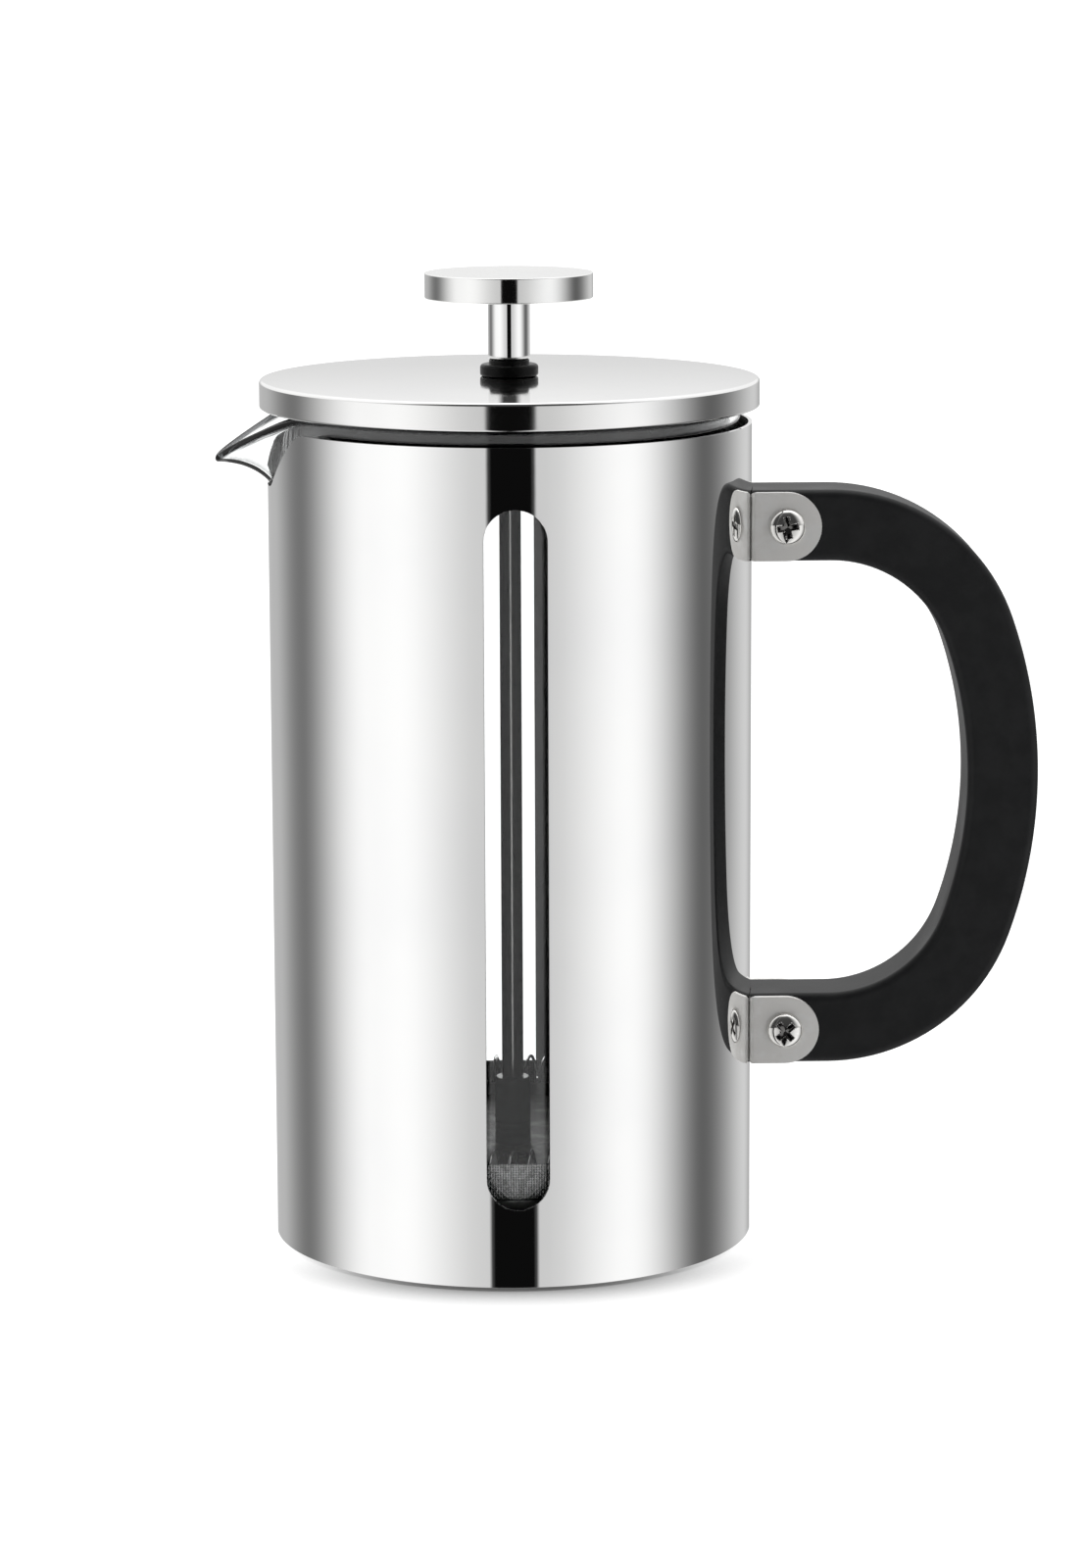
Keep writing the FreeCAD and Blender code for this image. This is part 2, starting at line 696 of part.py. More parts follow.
def makeScrew(label, grip, place, direction, roll):
    """Cross-recessed pan-head screw; its own Z runs out of the head, zero under the head."""
    body = newBody(label.title().replace("_", ""))
    shank = "screwShank / 2"
    head = "screwHead / 2"
    outline = revolve(body, [
        ("0", "-(%s)" % grip), (shank, "-(%s)" % grip), (shank, "0"),
        (head, "0"), (head, "screwHeadHeight"), ("0", "screwHeadHeight")])
    rounded(body, outline, "screwHeadHeight * 0.7", circleAt((head, "screwHeadHeight")))
    recess = sketchOn(body, "XY_Plane", "Recess")
    polygon(recess, crossCorners("recessSpan / 2", "recessWidth / 2"))
    bind(recess, "AttachmentOffset.Base.z", "screwHeadHeight")
    doc.recompute()
    pocket(body, recess, "recessDepth")
    body.Placement.Rotation = FreeCAD.Rotation(V(0, 0, 1), direction).multiply(
        FreeCAD.Rotation(V(0, 0, 1), roll))
    for axis, text in zip("xyz", place):
        bind(body, "Placement.Base." + axis, text)
    keep(label, body)


def makeRivet(label, side, arm):
    """Rivet with a flat head inside the sleeve, spread flush in the saddle's web."""
    body = newBody(label.title().replace("_", ""))
    shank = "rivetShank / 2"
    head = "rivetHead / 2"
    low = "-(rivetGrip + rivetHeadHeight)"
    outline = revolve(body, [
        ("0", low), (head, low), (head, "-rivetGrip"), (shank, "-rivetGrip"),
        (shank, "-rivetSink"), ("rivetSinkWidth / 2", "0"), ("0", "0")])
    rounded(body, outline, "rivetHeadHeight * 0.5", circleAt((head, low)))
    body.Placement.Rotation = FreeCAD.Rotation(V(0, 0, 1), outward(side))
    for axis, text in zip("xyz", onRivet(side, "bracketOuter", arm)):
        bind(body, "Placement.Base." + axis, text)
    keep(label, body)


def makeFastenings():
    for level, arm in levels:
        makeBracket(level, arm)
        for name, side in sides:
            seat = "%d * (handleFace + bracketSheet)" % side
            makeScrew("%s_%s_handle_screw" % (level, name), "bracketSheet + screwGrip",
                      ("handleScrewX", seat, arm), V(0, side, 0), recessTurns[level])
            makeRivet("%s_%s_rivet" % (level, name), side, arm)


# ---------------------------------------------------------------- lid
def makeLid():
    """Steel disc lid, and the black insert that centres it in the beaker."""
    hole = "bushNeck + runningClearance"
    cap = newBody("LidCap")
    skirt = "lidOuter - lidSheet"
    lip = "lidOuter - lidLip"
    disc = revolve(cap, [
        (hole, "lidUnder"), (skirt, "lidUnder"), (skirt, "lidBottom + lidSheet"),
        (lip, "lidBottom + lidSheet"), (lip, "lidBottom"), ("lidOuter", "lidBottom"),
        ("lidOuter", "lidTop"), (hole, "lidTop")])
    rounded(cap, disc, "lidRound", circleAt(("lidOuter", "lidTop"), ("lidOuter", "lidBottom")))
    keep("lid_cap", cap)

    insert = newBody("LidInsert")
    ceiling = "rimHeight + ceilingThickness"
    middle = "bushLip + bushRoom"
    inside = "collarOuter - collarWall"
    upstand = "insertOuterRim - insertRim"
    revolve(insert, [
        (middle, "rimHeight"), (inside, "rimHeight"), (inside, "collarBottom"),
        ("collarOuter", "collarBottom"), ("collarOuter", "rimHeight"),
        ("insertOuterRim", "rimHeight"), ("insertOuterRim", "lidUnder"),
        (upstand, "lidUnder"), (upstand, ceiling), (middle, ceiling)])
    slit = sketchOn(insert, "YZ_Plane", "Slit")
    low = "collarBottom + collarWall"
    high = low + " + slitHeight"
    polygon(slit, [
        ("-slitWidth / 2", low), ("slitWidth / 2", low),
        ("slitWidth / 2", high), ("-slitWidth / 2", high)])
    first = pocket(insert, slit, "glassOuter")
    fan = "%d * slitPitch" % (slitCount - 1)
    polar(insert, first, slitCount, fan)
    # the fan of slits starts at -X, so half of it back centres it on the spout
    insert.Placement.Rotation = FreeCAD.Rotation(V(0, 0, 1), -worth(fan) / 2)
    keep("lid_insert", insert)


def makeBush():
    """Rubber bush that seals the rod, clipped in the lid's centre hole."""
    body = newBody("RodBush")
    shoulder = "bushSeat + bushFlangeThickness"
    under = "lidUnder - runningClearance"
    lower = under + " - bushLipThickness"
    outline = revolve(body, [
        ("rodBore", lower), ("bushLip", lower), ("bushLip", under), ("bushNeck", under),
        ("bushNeck", "bushSeat"), ("bushFlange", "bushSeat"), ("bushFlange", shoulder),
        ("bushNeck", shoulder), ("bushNeck", "bushTop"), ("rodBore", "bushTop")])
    rounded(body, outline, "bushFlangeThickness * 0.3",
            circleAt(("bushFlange", "bushSeat"), ("bushFlange", shoulder)))
    keep("rod_bush", body)


# ---------------------------------------------------------------- plunger and knob
def makePlunger():
    """Rod with a thinner threaded end each way, a spacer ferrule and a disc knob."""
    thread = "rodThread / 2"
    shaft = "rodDiameter / 2"
    foot = "hubTop - threadDepth"
    shoulder = "hubTop + restGap"
    neck = "knobBottom - restGap"
    tip = neck + " + threadDepth"
    rod = newBody("Rod")
    revolve(rod, [
        ("0", foot), (thread, foot), (thread, shoulder), (shaft, shoulder),
        (shaft, neck), (thread, neck), (thread, tip), ("0", tip)])
    keep("plunger_rod", rod)

    ferrule = newBody("Ferrule")
    outside = "rodBore + ferruleWall"
    foot = "bushTop + restGap"
    revolve(ferrule, [
        ("rodBore", foot), (outside, foot), (outside, "knobBottom"), ("rodBore", "knobBottom")])
    keep("knob_ferrule", ferrule)

    knob = newBody("Knob")
    edge = "knobDiameter / 2"
    socket = "knobBottom + threadDepth"
    disc = revolve(knob, [
        ("threadBore", "knobBottom"), (edge, "knobBottom"), (edge, "knobTop"),
        ("0", "knobTop"), ("0", socket), ("threadBore", socket)])
    rounded(knob, disc, "knobEdge", circleAt((edge, "knobBottom"), (edge, "knobTop")))
    keep("knob", knob)


# ---------------------------------------------------------------- filter pack
def flowHoles(body, plateRadius, high):
    """Three circles of flow holes, the outer one a margin in from the plate's edge."""
    outer = "%s - flowMargin" % plateRadius
    inner = "hubRadius + flowMargin"
    circles = {"Outer": outer, "Middle": "(%s + %s) / 2" % (outer, inner), "Inner": inner}
    for row, count in flowCounts.items():
        sketch = sketchOn(body, "XY_Plane", "FlowHole" + row)
        ring(sketch, circles[row], "0", "flowHole" + row)
        doc.recompute()
        hole = pocket(body, sketch, high, backwards=True)
        polar(body, hole, count)


def makeFilter():
    """Cross plate, woven screen and spring plate, screwed to a hub under the rod."""
    shank = "filterScrewShank / 2"
    bore = "filterScrewShank / 2 + holeClearance"

    cross = newBody("CrossPlate")
    inside = "crossRadius - crossPlateThickness"
    skirt = "filterBottom - crossPlateRim"
    revolve(cross, [
        (bore, "filterBottom"), (inside, "filterBottom"), (inside, skirt),
        ("crossRadius", skirt), ("crossRadius", "meshBottom"), (bore, "meshBottom")])
    flowHoles(cross, "crossRadius", "meshTop")
    keep("cross_plate", cross)

    mesh = newBody("MeshScreen")
    inside = "meshRadius - meshThickness"
    skirt = "meshBottom + meshSkirt"
    revolve(mesh, [
        (bore, "meshBottom"), ("meshRadius", "meshBottom"), ("meshRadius", skirt),
        (inside, skirt), (inside, "meshTop"), (bore, "meshTop")])
    keep("mesh_screen", mesh)

    plate = newBody("SpringPlate")
    inside = "plateEdge - springPlateThickness"
    rim = "hubBottom + springPlateRim"
    revolve(plate, [
        (bore, "meshTop"), ("plateEdge", "meshTop"), ("plateEdge", rim),
        (inside, rim), (inside, "hubBottom"), (bore, "hubBottom")])
    flowHoles(plate, "plateEdge", "hubTop")
    keep("spring_plate", plate)

    coil = doc.addObject("Part::Torus", "CoilOuter")
    bind(coil, "Radius2", "coilDiameter / 2")
    room = doc.addObject("Part::Torus", "CoilRoom")
    bind(room, "Radius2", "coilDiameter / 2 - coilWall")
    for piece in (coil, room):
        bind(piece, "Radius1", "coilCentre")
        bind(piece, "Placement.Base.z", "coilHeight")
    keep("filter_spring", less("FilterSpring", coil, room))

    hub = newBody("FilterHub")
    socket = "hubTop - threadDepth - restGap"
    screwTip = "filterBottom + filterScrewLength"
    outline = revolve(hub, [
        (shank, "hubBottom"), ("hubRadius", "hubBottom"), ("hubRadius", "hubTop"),
        ("threadBore", "hubTop"), ("threadBore", socket), ("0", socket),
        ("0", screwTip), (shank, screwTip)])
    rounded(hub, outline, "hubWall / 4", circleAt(("hubRadius", "hubTop")), "PartDesign::Chamfer")
    keep("filter_hub", hub)

    screw = newBody("FilterScrew")
    head = "filterScrewHead / 2"
    low = "filterBottom - filterScrewHeadHeight"
    outline = revolve(screw, [
        ("0", low), (head, low), (head, "filterBottom"), (shank, "filterBottom"),
        (shank, screwTip), ("0", screwTip)])
    rounded(screw, outline, "filterScrewHeadHeight * 0.6", circleAt((head, low)))
    keep("filter_screw", screw)


makeSleeve()
makeBase()
makeBeaker()
makeHandle()
makeFastenings()
makeLid()
makeBush()
makePlunger()
makeFilter()
doc.recompute()

# ---------------------------------------------------------------- tests and export
for thing in doc.Objects:
    if "Invalid" in thing.State or "Error" in thing.State:
        raise RuntimeError("%s is in state %s" % (thing.Label, thing.State))
for name, thing in nodes.items():
    shape = thing.Shape
    if shape.isNull() or not shape.isValid() or len(shape.Solids) != 1:
        raise RuntimeError("%s isn't one sound solid" % name)

os.makedirs("parts", exist_ok=True)
for name, thing in nodes.items():
    thing.Shape.exportStep("parts/%s.step" % name)
    print("%-28s %9.1f mm3" % (name, thing.Shape.Volume))
print("%d nodes" % len(nodes))
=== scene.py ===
import json
import math

import bpy
import bmesh
import numpy as np
from mathutils import Matrix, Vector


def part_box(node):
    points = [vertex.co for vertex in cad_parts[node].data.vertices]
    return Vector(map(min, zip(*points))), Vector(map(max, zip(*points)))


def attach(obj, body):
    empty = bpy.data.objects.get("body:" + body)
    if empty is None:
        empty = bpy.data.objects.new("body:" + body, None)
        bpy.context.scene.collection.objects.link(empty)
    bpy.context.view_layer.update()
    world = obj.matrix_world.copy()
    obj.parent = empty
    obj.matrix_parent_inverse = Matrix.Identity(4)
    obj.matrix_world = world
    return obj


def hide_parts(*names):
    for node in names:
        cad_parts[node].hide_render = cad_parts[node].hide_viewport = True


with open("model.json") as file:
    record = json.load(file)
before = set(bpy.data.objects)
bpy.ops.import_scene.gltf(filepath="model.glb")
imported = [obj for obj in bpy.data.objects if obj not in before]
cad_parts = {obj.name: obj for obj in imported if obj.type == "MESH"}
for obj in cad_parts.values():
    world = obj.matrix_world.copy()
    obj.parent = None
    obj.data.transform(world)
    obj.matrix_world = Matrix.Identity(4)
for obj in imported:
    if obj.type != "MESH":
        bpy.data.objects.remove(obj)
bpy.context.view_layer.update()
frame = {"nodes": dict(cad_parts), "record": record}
mm = 0.001
tau = 2 * math.pi


def low(node, axis):
    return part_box(node)[0]["xyz".index(axis)] / mm


def high(node, axis):
    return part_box(node)[1]["xyz".index(axis)] / mm


# sums in a material are written as expressions on its wires
class Wire:
    # one output socket: an expression on it adds Math nodes
    def __init__(self, tree, socket):
        self.tree = tree
        self.socket = socket

    def maths(self, operation, *others):
        return self.tree.node("ShaderNodeMath", {"operation": operation}, [self, *others])

    def __add__(self, other):
        return self.maths("ADD", other)

    __radd__ = __add__

    def __sub__(self, other):
        return self.maths("SUBTRACT", other)

    def __rsub__(self, other):
        return self.maths("MULTIPLY_ADD", -1.0, other)

    def __mul__(self, other):
        return self.maths("MULTIPLY", other)

    __rmul__ = __mul__

    def __truediv__(self, other):
        return self.maths("DIVIDE", other)

    def __pow__(self, other):
        return self.maths("POWER", other)

    def __abs__(self):
        return self.maths("ABSOLUTE")

    def atLeast(self, other):
        return self.maths("MAXIMUM", other)

    def wave(self, pitch):
        # a sine that repeats every pitch, from 0 to 1
        return (self * (tau / pitch)).maths("SINE") * 0.5 + 0.5

    def smooth(self, start, end):
        # 0 at start, 1 at end, eased at both
        return self.tree.node("ShaderNodeMapRange", {"interpolation_type": "SMOOTHSTEP"},
                              {"Value": self, "From Min": start, "From Max": end})


class Tree:
    # the nodes of one material, or of the world
    def __init__(self, owner):
        owner.use_nodes = True
        self.nodes = owner.node_tree.nodes
        self.links = owner.node_tree.links
        self.nodes.clear()

    def node(self, kind, settings=None, inputs=None, out=0):
        # settings come first, then values or wires for the inputs
        made = self.nodes.new(kind)
        for key, value in (settings or {}).items():
            if key == "stops":
                self.setStops(made.color_ramp, value)
            else:
                setattr(made, key, value)
        inputs = inputs or {}
        pairs = inputs.items() if isinstance(inputs, dict) else enumerate(inputs)
        for key, value in pairs:
            socket = made.inputs[key]
            if isinstance(value, Wire):
                self.links.new(value.socket, socket)
            else:
                socket.default_value = value
        return Wire(self, made.outputs[out] if made.outputs else None)

    def setStops(self, ramp, stops):
        ramp.interpolation = "EASE"
        for i, (place, value) in enumerate(stops):
            stop = ramp.elements[i] if i < len(ramp.elements) else ramp.elements.new(place)
            stop.position = place
            stop.color = (value, value, value, 1)

    def place(self):
        return self.node("ShaderNodeTexCoord", out="Object")

    def split(self, vector):
        x = self.node("ShaderNodeSeparateXYZ", {}, [vector])
        return x, Wire(self, x.socket.node.outputs[1]), Wire(self, x.socket.node.outputs[2])

    def join(self, x, y, z):
        return self.node("ShaderNodeCombineXYZ", {}, [x, y, z])

    def noise(self, vector, scale, detail=2.0, rough=0.5):
        return self.node("ShaderNodeTexNoise", {}, {
            "Vector": vector, "Scale": scale, "Detail": detail, "Roughness": rough})

    def blend(self, amount, first, second):
        # sockets 6 and 7 of a Mix node in colour mode are its two colours, and output 2 is the result
        return self.node("ShaderNodeMix", {"data_type": "RGBA"}, {0: amount, 6: first, 7: second}, out=2)

    def bump(self, height, depth):
        return self.node("ShaderNodeBump", {}, {"Height": height, "Distance": depth})

    def surface(self, inputs):
        shader = self.node("ShaderNodeBsdfPrincipled", {}, inputs)
        self.node("ShaderNodeOutputMaterial", {}, {"Surface": shader})


def newMaterial(name):
    made = bpy.data.materials.new(name)
    return made, Tree(made)


def colour(red, green, blue):
    return (red, green, blue, 1.0)


# finishes: lengths in metres for bumps and in millimetres for places; scales are per metre
def rolledSteel(name, finish):
    # sheet that was polished while it turned: hair lines round the axis, slow waves, soft smudges
    made, tree = newMaterial(name)
    place = tree.place()
    x, y, z = tree.split(place)
    radius = (x * x + y * y) ** 0.5
    smudge = tree.noise(place, finish["smudgeScale"], 3.0, 0.6).smooth(0.4, 0.75)
    hair = tree.noise(tree.join(radius, z, 0.0), finish["hairScale"], 2.0)
    waves = tree.noise(place, finish["waveScale"], 0.0)
    height = hair * finish["hairDepth"] + waves * finish["waveDepth"]
    gloss = smudge * finish["smudgeGloss"] + finish["gloss"]
    if "brushedAbove" in finish:
        # the turned top keeps its tool rings
        brushed = (z * (1 / mm)).smooth(finish["brushedAbove"] - 0.3, finish["brushedAbove"])
        rings = tree.noise(tree.join(radius, 0.0, 0.0), finish["ringScale"], 3.0)
        height = height + brushed * rings * finish["ringDepth"]
        gloss = gloss + brushed * finish["brushedGloss"]
    base = tree.blend(smudge, finish["colour"], finish["smudgeColour"])
    if "mouthPaintedReflection" in finish:
        # painted reflection: brighter near the mouth, standing in for the white surroundings mirrored through
        # the glass
        mouthReflection = (z * (1 / mm)).smooth(finish["mouthFrom"], finish["mouthTo"])
        base = tree.blend(mouthReflection, base, finish["mouthPaintedReflection"])
    tree.surface({
        "Base Color": base,
        "Metallic": 1.0,
        "Roughness": gloss,
        "Normal": tree.bump(height, mm)})
    return made


mirrorSteel = rolledSteel("mirrorSteel", {
    "colour": colour(0.90, 0.90, 0.895), "smudgeColour": colour(0.875, 0.876, 0.875),
    "gloss": 0.022, "smudgeGloss": 0.016, "smudgeScale": 24.0,
    "hairScale": 5200.0, "hairDepth": 0.0004, "waveScale": 14.0, "waveDepth": 0.04})
knobSteel = rolledSteel("knobSteel", {
    "colour": colour(0.86, 0.86, 0.85), "smudgeColour": colour(0.81, 0.812, 0.81),
    "gloss": 0.06, "smudgeGloss": 0.04, "smudgeScale": 60.0,
    "hairScale": 3600.0, "hairDepth": 0.0012, "waveScale": 40.0, "waveDepth": 0.006,
    "brushedAbove": high("knob", "z") - 0.1, "ringScale": 2600.0, "ringDepth": 0.012, "brushedGloss": 0.16})
lidSteel = rolledSteel("lidSteel", {
    "colour": colour(0.87, 0.868, 0.86), "smudgeColour": colour(0.83, 0.83, 0.828),
    "gloss": 0.06, "smudgeGloss": 0.04, "smudgeScale": 30.0,
    "hairScale": 4200.0, "hairDepth": 0.0008, "waveScale": 18.0, "waveDepth": 0.01})
# painted shade: the inner skin is much darker than steel, standing in for the dark inside of the sleeve
shadedInnerSteel = rolledSteel("shadedInnerSteel", {
    "colour": colour(0.16, 0.16, 0.16), "smudgeColour": colour(0.11, 0.11, 0.11),
    "gloss": 0.32, "smudgeGloss": 0.12, "smudgeScale": 60.0,
    "hairScale": 2400.0, "hairDepth": 0.012, "waveScale": 60.0, "waveDepth": 0.01,
    "mouthPaintedReflection": colour(0.95, 0.95, 0.945), "mouthFrom": 150.0, "mouthTo": 161.0})
plainSteel = rolledSteel("plainSteel", {
    "colour": colour(0.72, 0.72, 0.71), "smudgeColour": colour(0.62, 0.62, 0.61),
    "gloss": 0.24, "smudgeGloss": 0.12, "smudgeScale": 80.0,
    "hairScale": 2400.0, "hairDepth": 0.012, "waveScale": 60.0, "waveDepth": 0.01})
# painted shade: rod and hub steel is much darker than steel, standing in for the dark they mirror inside the
# sleeve
shadedRodSteel = rolledSteel("shadedRodSteel", {
    "colour": colour(0.22, 0.22, 0.215), "smudgeColour": colour(0.17, 0.17, 0.167),
    "gloss": 0.12, "smudgeGloss": 0.06, "smudgeScale": 90.0,
    "hairScale": 5200.0, "hairDepth": 0.002, "waveScale": 60.0, "waveDepth": 0.004})


def brushedMetal(name, finish):
    # small pressed or turned parts: fine grain with an all-over satin and worn brighter patches
    made, tree = newMaterial(name)
    place = tree.place()
    worn = tree.noise(place, finish["wornScale"], 3.0, 0.6).smooth(0.45, 0.7)
    grain = tree.noise(place, finish["grainScale"], 3.0, 0.65)
    base = tree.blend(worn, finish["colour"], finish["wornColour"])
    # painted shade: points marked as down in a recess are darkened
    if "recessShadeColour" in finish:
        sunk = tree.node("ShaderNodeAttribute", {"attribute_name": "sunk"}, out="Fac")
        base = tree.blend(sunk, base, finish["recessShadeColour"])
    tree.surface({
        "Base Color": base,
        "Metallic": 1.0,
        "Roughness": finish["gloss"] - worn * finish["wornGloss"],
        "Normal": tree.bump(grain, finish["grainDepth"] * mm)})
    return made


satinNickel = brushedMetal("satinNickel", {
    "colour": colour(0.93, 0.92, 0.90), "wornColour": colour(0.97, 0.965, 0.95),
    "gloss": 0.64, "wornGloss": 0.08, "wornScale": 260.0, "grainScale": 2600.0, "grainDepth": 0.008})
screwSteel = brushedMetal("screwSteel", {
    "colour": colour(0.78, 0.77, 0.75), "wornColour": colour(0.86, 0.85, 0.83),
    "gloss": 0.1, "wornGloss": 0.04, "wornScale": 500.0, "grainScale": 3200.0, "grainDepth": 0.003,
    "recessShadeColour": colour(0.2, 0.195, 0.19)})
brass = brushedMetal("insertBrass", {
    "colour": colour(0.62, 0.44, 0.19), "wornColour": colour(0.72, 0.53, 0.25),
    "gloss": 0.32, "wornGloss": 0.08, "wornScale": 500.0, "grainScale": 2600.0, "grainDepth": 0.008})
plateSteel = brushedMetal("plateSteel", {
    "colour": colour(0.86, 0.86, 0.85), "wornColour": colour(0.9, 0.9, 0.89),
    "gloss": 0.34, "wornGloss": 0.08, "wornScale": 160.0, "grainScale": 2200.0, "grainDepth": 0.006})
punchedSteel = brushedMetal("punchedSteel", {
    "colour": colour(0.2, 0.2, 0.197), "wornColour": colour(0.3, 0.3, 0.295),
    "gloss": 0.5, "wornGloss": 0.16, "wornScale": 160.0, "grainScale": 2200.0, "grainDepth": 0.01})
springWire = brushedMetal("springWire", {
    "colour": colour(0.82, 0.82, 0.81), "wornColour": colour(0.88, 0.88, 0.87),
    "gloss": 0.16, "wornGloss": 0.05, "wornScale": 900.0, "grainScale": 3000.0, "grainDepth": 0.003})


def mouldedPlastic(name, finish):
    # moulded plastic or rubber: a fine eroded skin, faint mottling, and rubbed spots that shine more
    made, tree = newMaterial(name)
    place = tree.place()
    mottle = tree.noise(place, finish["mottleScale"], 3.0, 0.55).smooth(0.3, 0.7)
    rubbed = tree.noise(place, finish["rubbedScale"], 2.0).smooth(0.5, 0.72)
    skin = tree.noise(place, finish["skinScale"], 3.0, 0.6)
    tree.surface({
        "Base Color": tree.blend(mottle, finish["colour"], finish["mottleColour"]),
        "Roughness": finish["gloss"] - rubbed * finish["rubbedGloss"],
        "Specular IOR Level": finish["shine"],
        "Normal": tree.bump(skin, finish["skinDepth"] * mm)})
    return made


handleBlack = mouldedPlastic("handleBlack", {
    "colour": colour(0.0082, 0.0085, 0.009), "mottleColour": colour(0.0118, 0.0121, 0.0127),
    "gloss": 0.47, "rubbedGloss": 0.08, "shine": 0.2, "mottleScale": 210.0, "rubbedScale": 40.0,
    "skinScale": 2600.0, "skinDepth": 0.02})
collarBlack = mouldedPlastic("collarBlack", {
    "colour": colour(0.003, 0.003, 0.0032), "mottleColour": colour(0.005, 0.005, 0.0053),
    "gloss": 0.2, "rubbedGloss": 0.06, "shine": 0.1, "mottleScale": 160.0, "rubbedScale": 60.0,
    "skinScale": 2200.0, "skinDepth": 0.008})
bushRubber = mouldedPlastic("bushRubber", {
    "colour": colour(0.0025, 0.0025, 0.0025), "mottleColour": colour(0.004, 0.004, 0.004),
    "gloss": 0.34, "rubbedGloss": 0.12, "shine": 0.14, "mottleScale": 700.0, "rubbedScale": 300.0,
    "skinScale": 3800.0, "skinDepth": 0.02})
silicone = mouldedPlastic("silicone", {
    "colour": colour(0.022, 0.022, 0.023), "mottleColour": colour(0.032, 0.032, 0.033),
    "gloss": 0.62, "rubbedGloss": 0.1, "shine": 0.4, "mottleScale": 240.0, "rubbedScale": 90.0,
    "skinScale": 1800.0, "skinDepth": 0.03})


glass = {
    "colour": colour(0.985, 0.99, 0.99), "castColour": colour(0.97, 0.98, 0.98),
    "beadShadeColour": colour(0.012, 0.013, 0.014), "ior": 1.47, "shine": 0.3,
    "castScale": 12.0, "rippleScale": 30.0, "rippleDepth": 0.02}


def beakerGlass():
    # clear glass with a slight cast and slow ripples from drawing; points marked "rim" get a painted shade
    made, tree = newMaterial("beakerGlass")
    place = tree.place()
    ripple = tree.noise(place, glass["rippleScale"], 1.0)
    cast = tree.noise(place, glass["castScale"], 1.0).smooth(0.3, 0.7)
    # painted shade: the bead and the fold under the beak are darkened, standing in for the dark seen through
    # them
    thick = tree.node("ShaderNodeAttribute", {"attribute_name": "rim"}, out="Fac")
    clear = tree.blend(cast, glass["colour"], glass["castColour"])
    tree.surface({
        "Base Color": tree.blend(thick, clear, glass["beadShadeColour"]),
        "Roughness": 0.0, "IOR": glass["ior"], "Specular IOR Level": glass["shine"],
        "Transmission Weight": 1.0,
        "Normal": tree.bump(ripple, glass["rippleDepth"] * mm)})
    return made


weave = {
    "pitch": 0.52, "skirtFrom": 0.9, "skirtTo": 0.5, "depth": 0.09, "stainScale": 900.0,
    "colour": colour(0.19, 0.19, 0.187), "cleanColour": colour(0.4, 0.4, 0.395),
    "holeShadeColour": colour(0.012, 0.012, 0.012)}


def wovenMesh():
    # plain weave: two sets of crossing wires, each over one and under the next.
    # warp = sin(2 pi across / pitch), weft = sin(2 pi along / pitch); the skirt uses arc length and height
    made, tree = newMaterial("wovenMesh")
    pitch = weave["pitch"] * mm
    outer = high("mesh_screen", "x")
    x, y, z = tree.split(tree.place())
    turn = y.maths("ARCTAN2", x) * (outer * mm)
    radius = (x * x + y * y) ** 0.5
    upright = (radius * (1 / mm)).smooth(outer - weave["skirtFrom"], outer - weave["skirtTo"])
    across = x * (1.0 - upright) + turn * upright
    along = y * (1.0 - upright) + z * upright
    warp = across.wave(pitch)
    weft = along.wave(pitch)
    over = (across * (math.pi / pitch)).maths("SINE") * (along * (math.pi / pitch)).maths("SINE")
    wires = warp.atLeast(weft)
    # the holes are painted near black, a painted shade for the dark seen through the weave
    hole = 1.0 - wires.smooth(0.3, 0.72)
    stained = tree.noise(tree.place(), weave["stainScale"], 3.0, 0.7).smooth(0.35, 0.65)
    steel = tree.blend(stained, weave["colour"], weave["cleanColour"])
    height = wires + over * 0.4
    tree.surface({
        "Base Color": tree.blend(hole, steel, weave["holeShadeColour"]),
        "Metallic": 1.0 - hole * 0.6,
        "Roughness": hole * 0.4 + 0.3,
        "Normal": tree.bump(height, weave["depth"] * mm)})
    return made


clearGlass = beakerGlass()
meshSteel = wovenMesh()
print("finishes ready")


# pieces are grids of points with faces between them, in millimetres
def turned(points, closed=True):
    # the faces of a grid of points, rows up and columns round; closed joins the last column to the first
    rows, columns = points.shape[:2]
    index = np.arange(rows * columns).reshape(rows, columns)
    after = np.roll(index, -1, axis=1)
    last = columns if closed else columns - 1
    quads = np.stack([index[:-1, :last], after[:-1, :last], after[1:, :last], index[1:, :last]], axis=-1)
    return points.reshape(-1, 3), quads.reshape(-1, 4)


def sheetWall(outside, inside, kept, closed):
    # two skins of a sheet, with an edge face wherever a kept cell has no kept neighbour
    rows, columns = outside.shape[:2]
    index = np.arange(rows * columns).reshape(rows, columns)
    after = np.roll(index, -1, axis=1)
    last = columns if closed else columns - 1
    a, b, c, d = index[:-1, :last], after[:-1, :last], after[1:, :last], index[1:, :last]
    padded = np.pad(kept, 1)
    if closed:
        padded[1:-1, 0], padded[1:-1, -1] = kept[:, -1], kept[:, 0]
    shift = rows * columns
    faces = [np.stack([a, b, c, d], -1)[kept], np.stack([a, d, c, b], -1)[kept] + shift]
    neighbours = (padded[:-2, 1:-1], padded[1:-1, 2:], padded[2:, 1:-1], padded[1:-1, :-2])
    for (p, q), beside in zip(((a, b), (b, c), (c, d), (d, a)), neighbours):
        edge = kept & ~beside
        faces.append(np.stack([q[edge], p[edge], p[edge] + shift, q[edge] + shift], -1))
    return np.concatenate([outside.reshape(-1, 3), inside.reshape(-1, 3)]), np.concatenate(faces)


def together(*shapes):
    # several (points, faces) pairs as one
    points, faces, start = [], [], 0
    for some, quads in shapes:
        points.append(some)
        faces.append(quads + start)
        start += len(some)
    return np.concatenate(points), np.concatenate(faces)


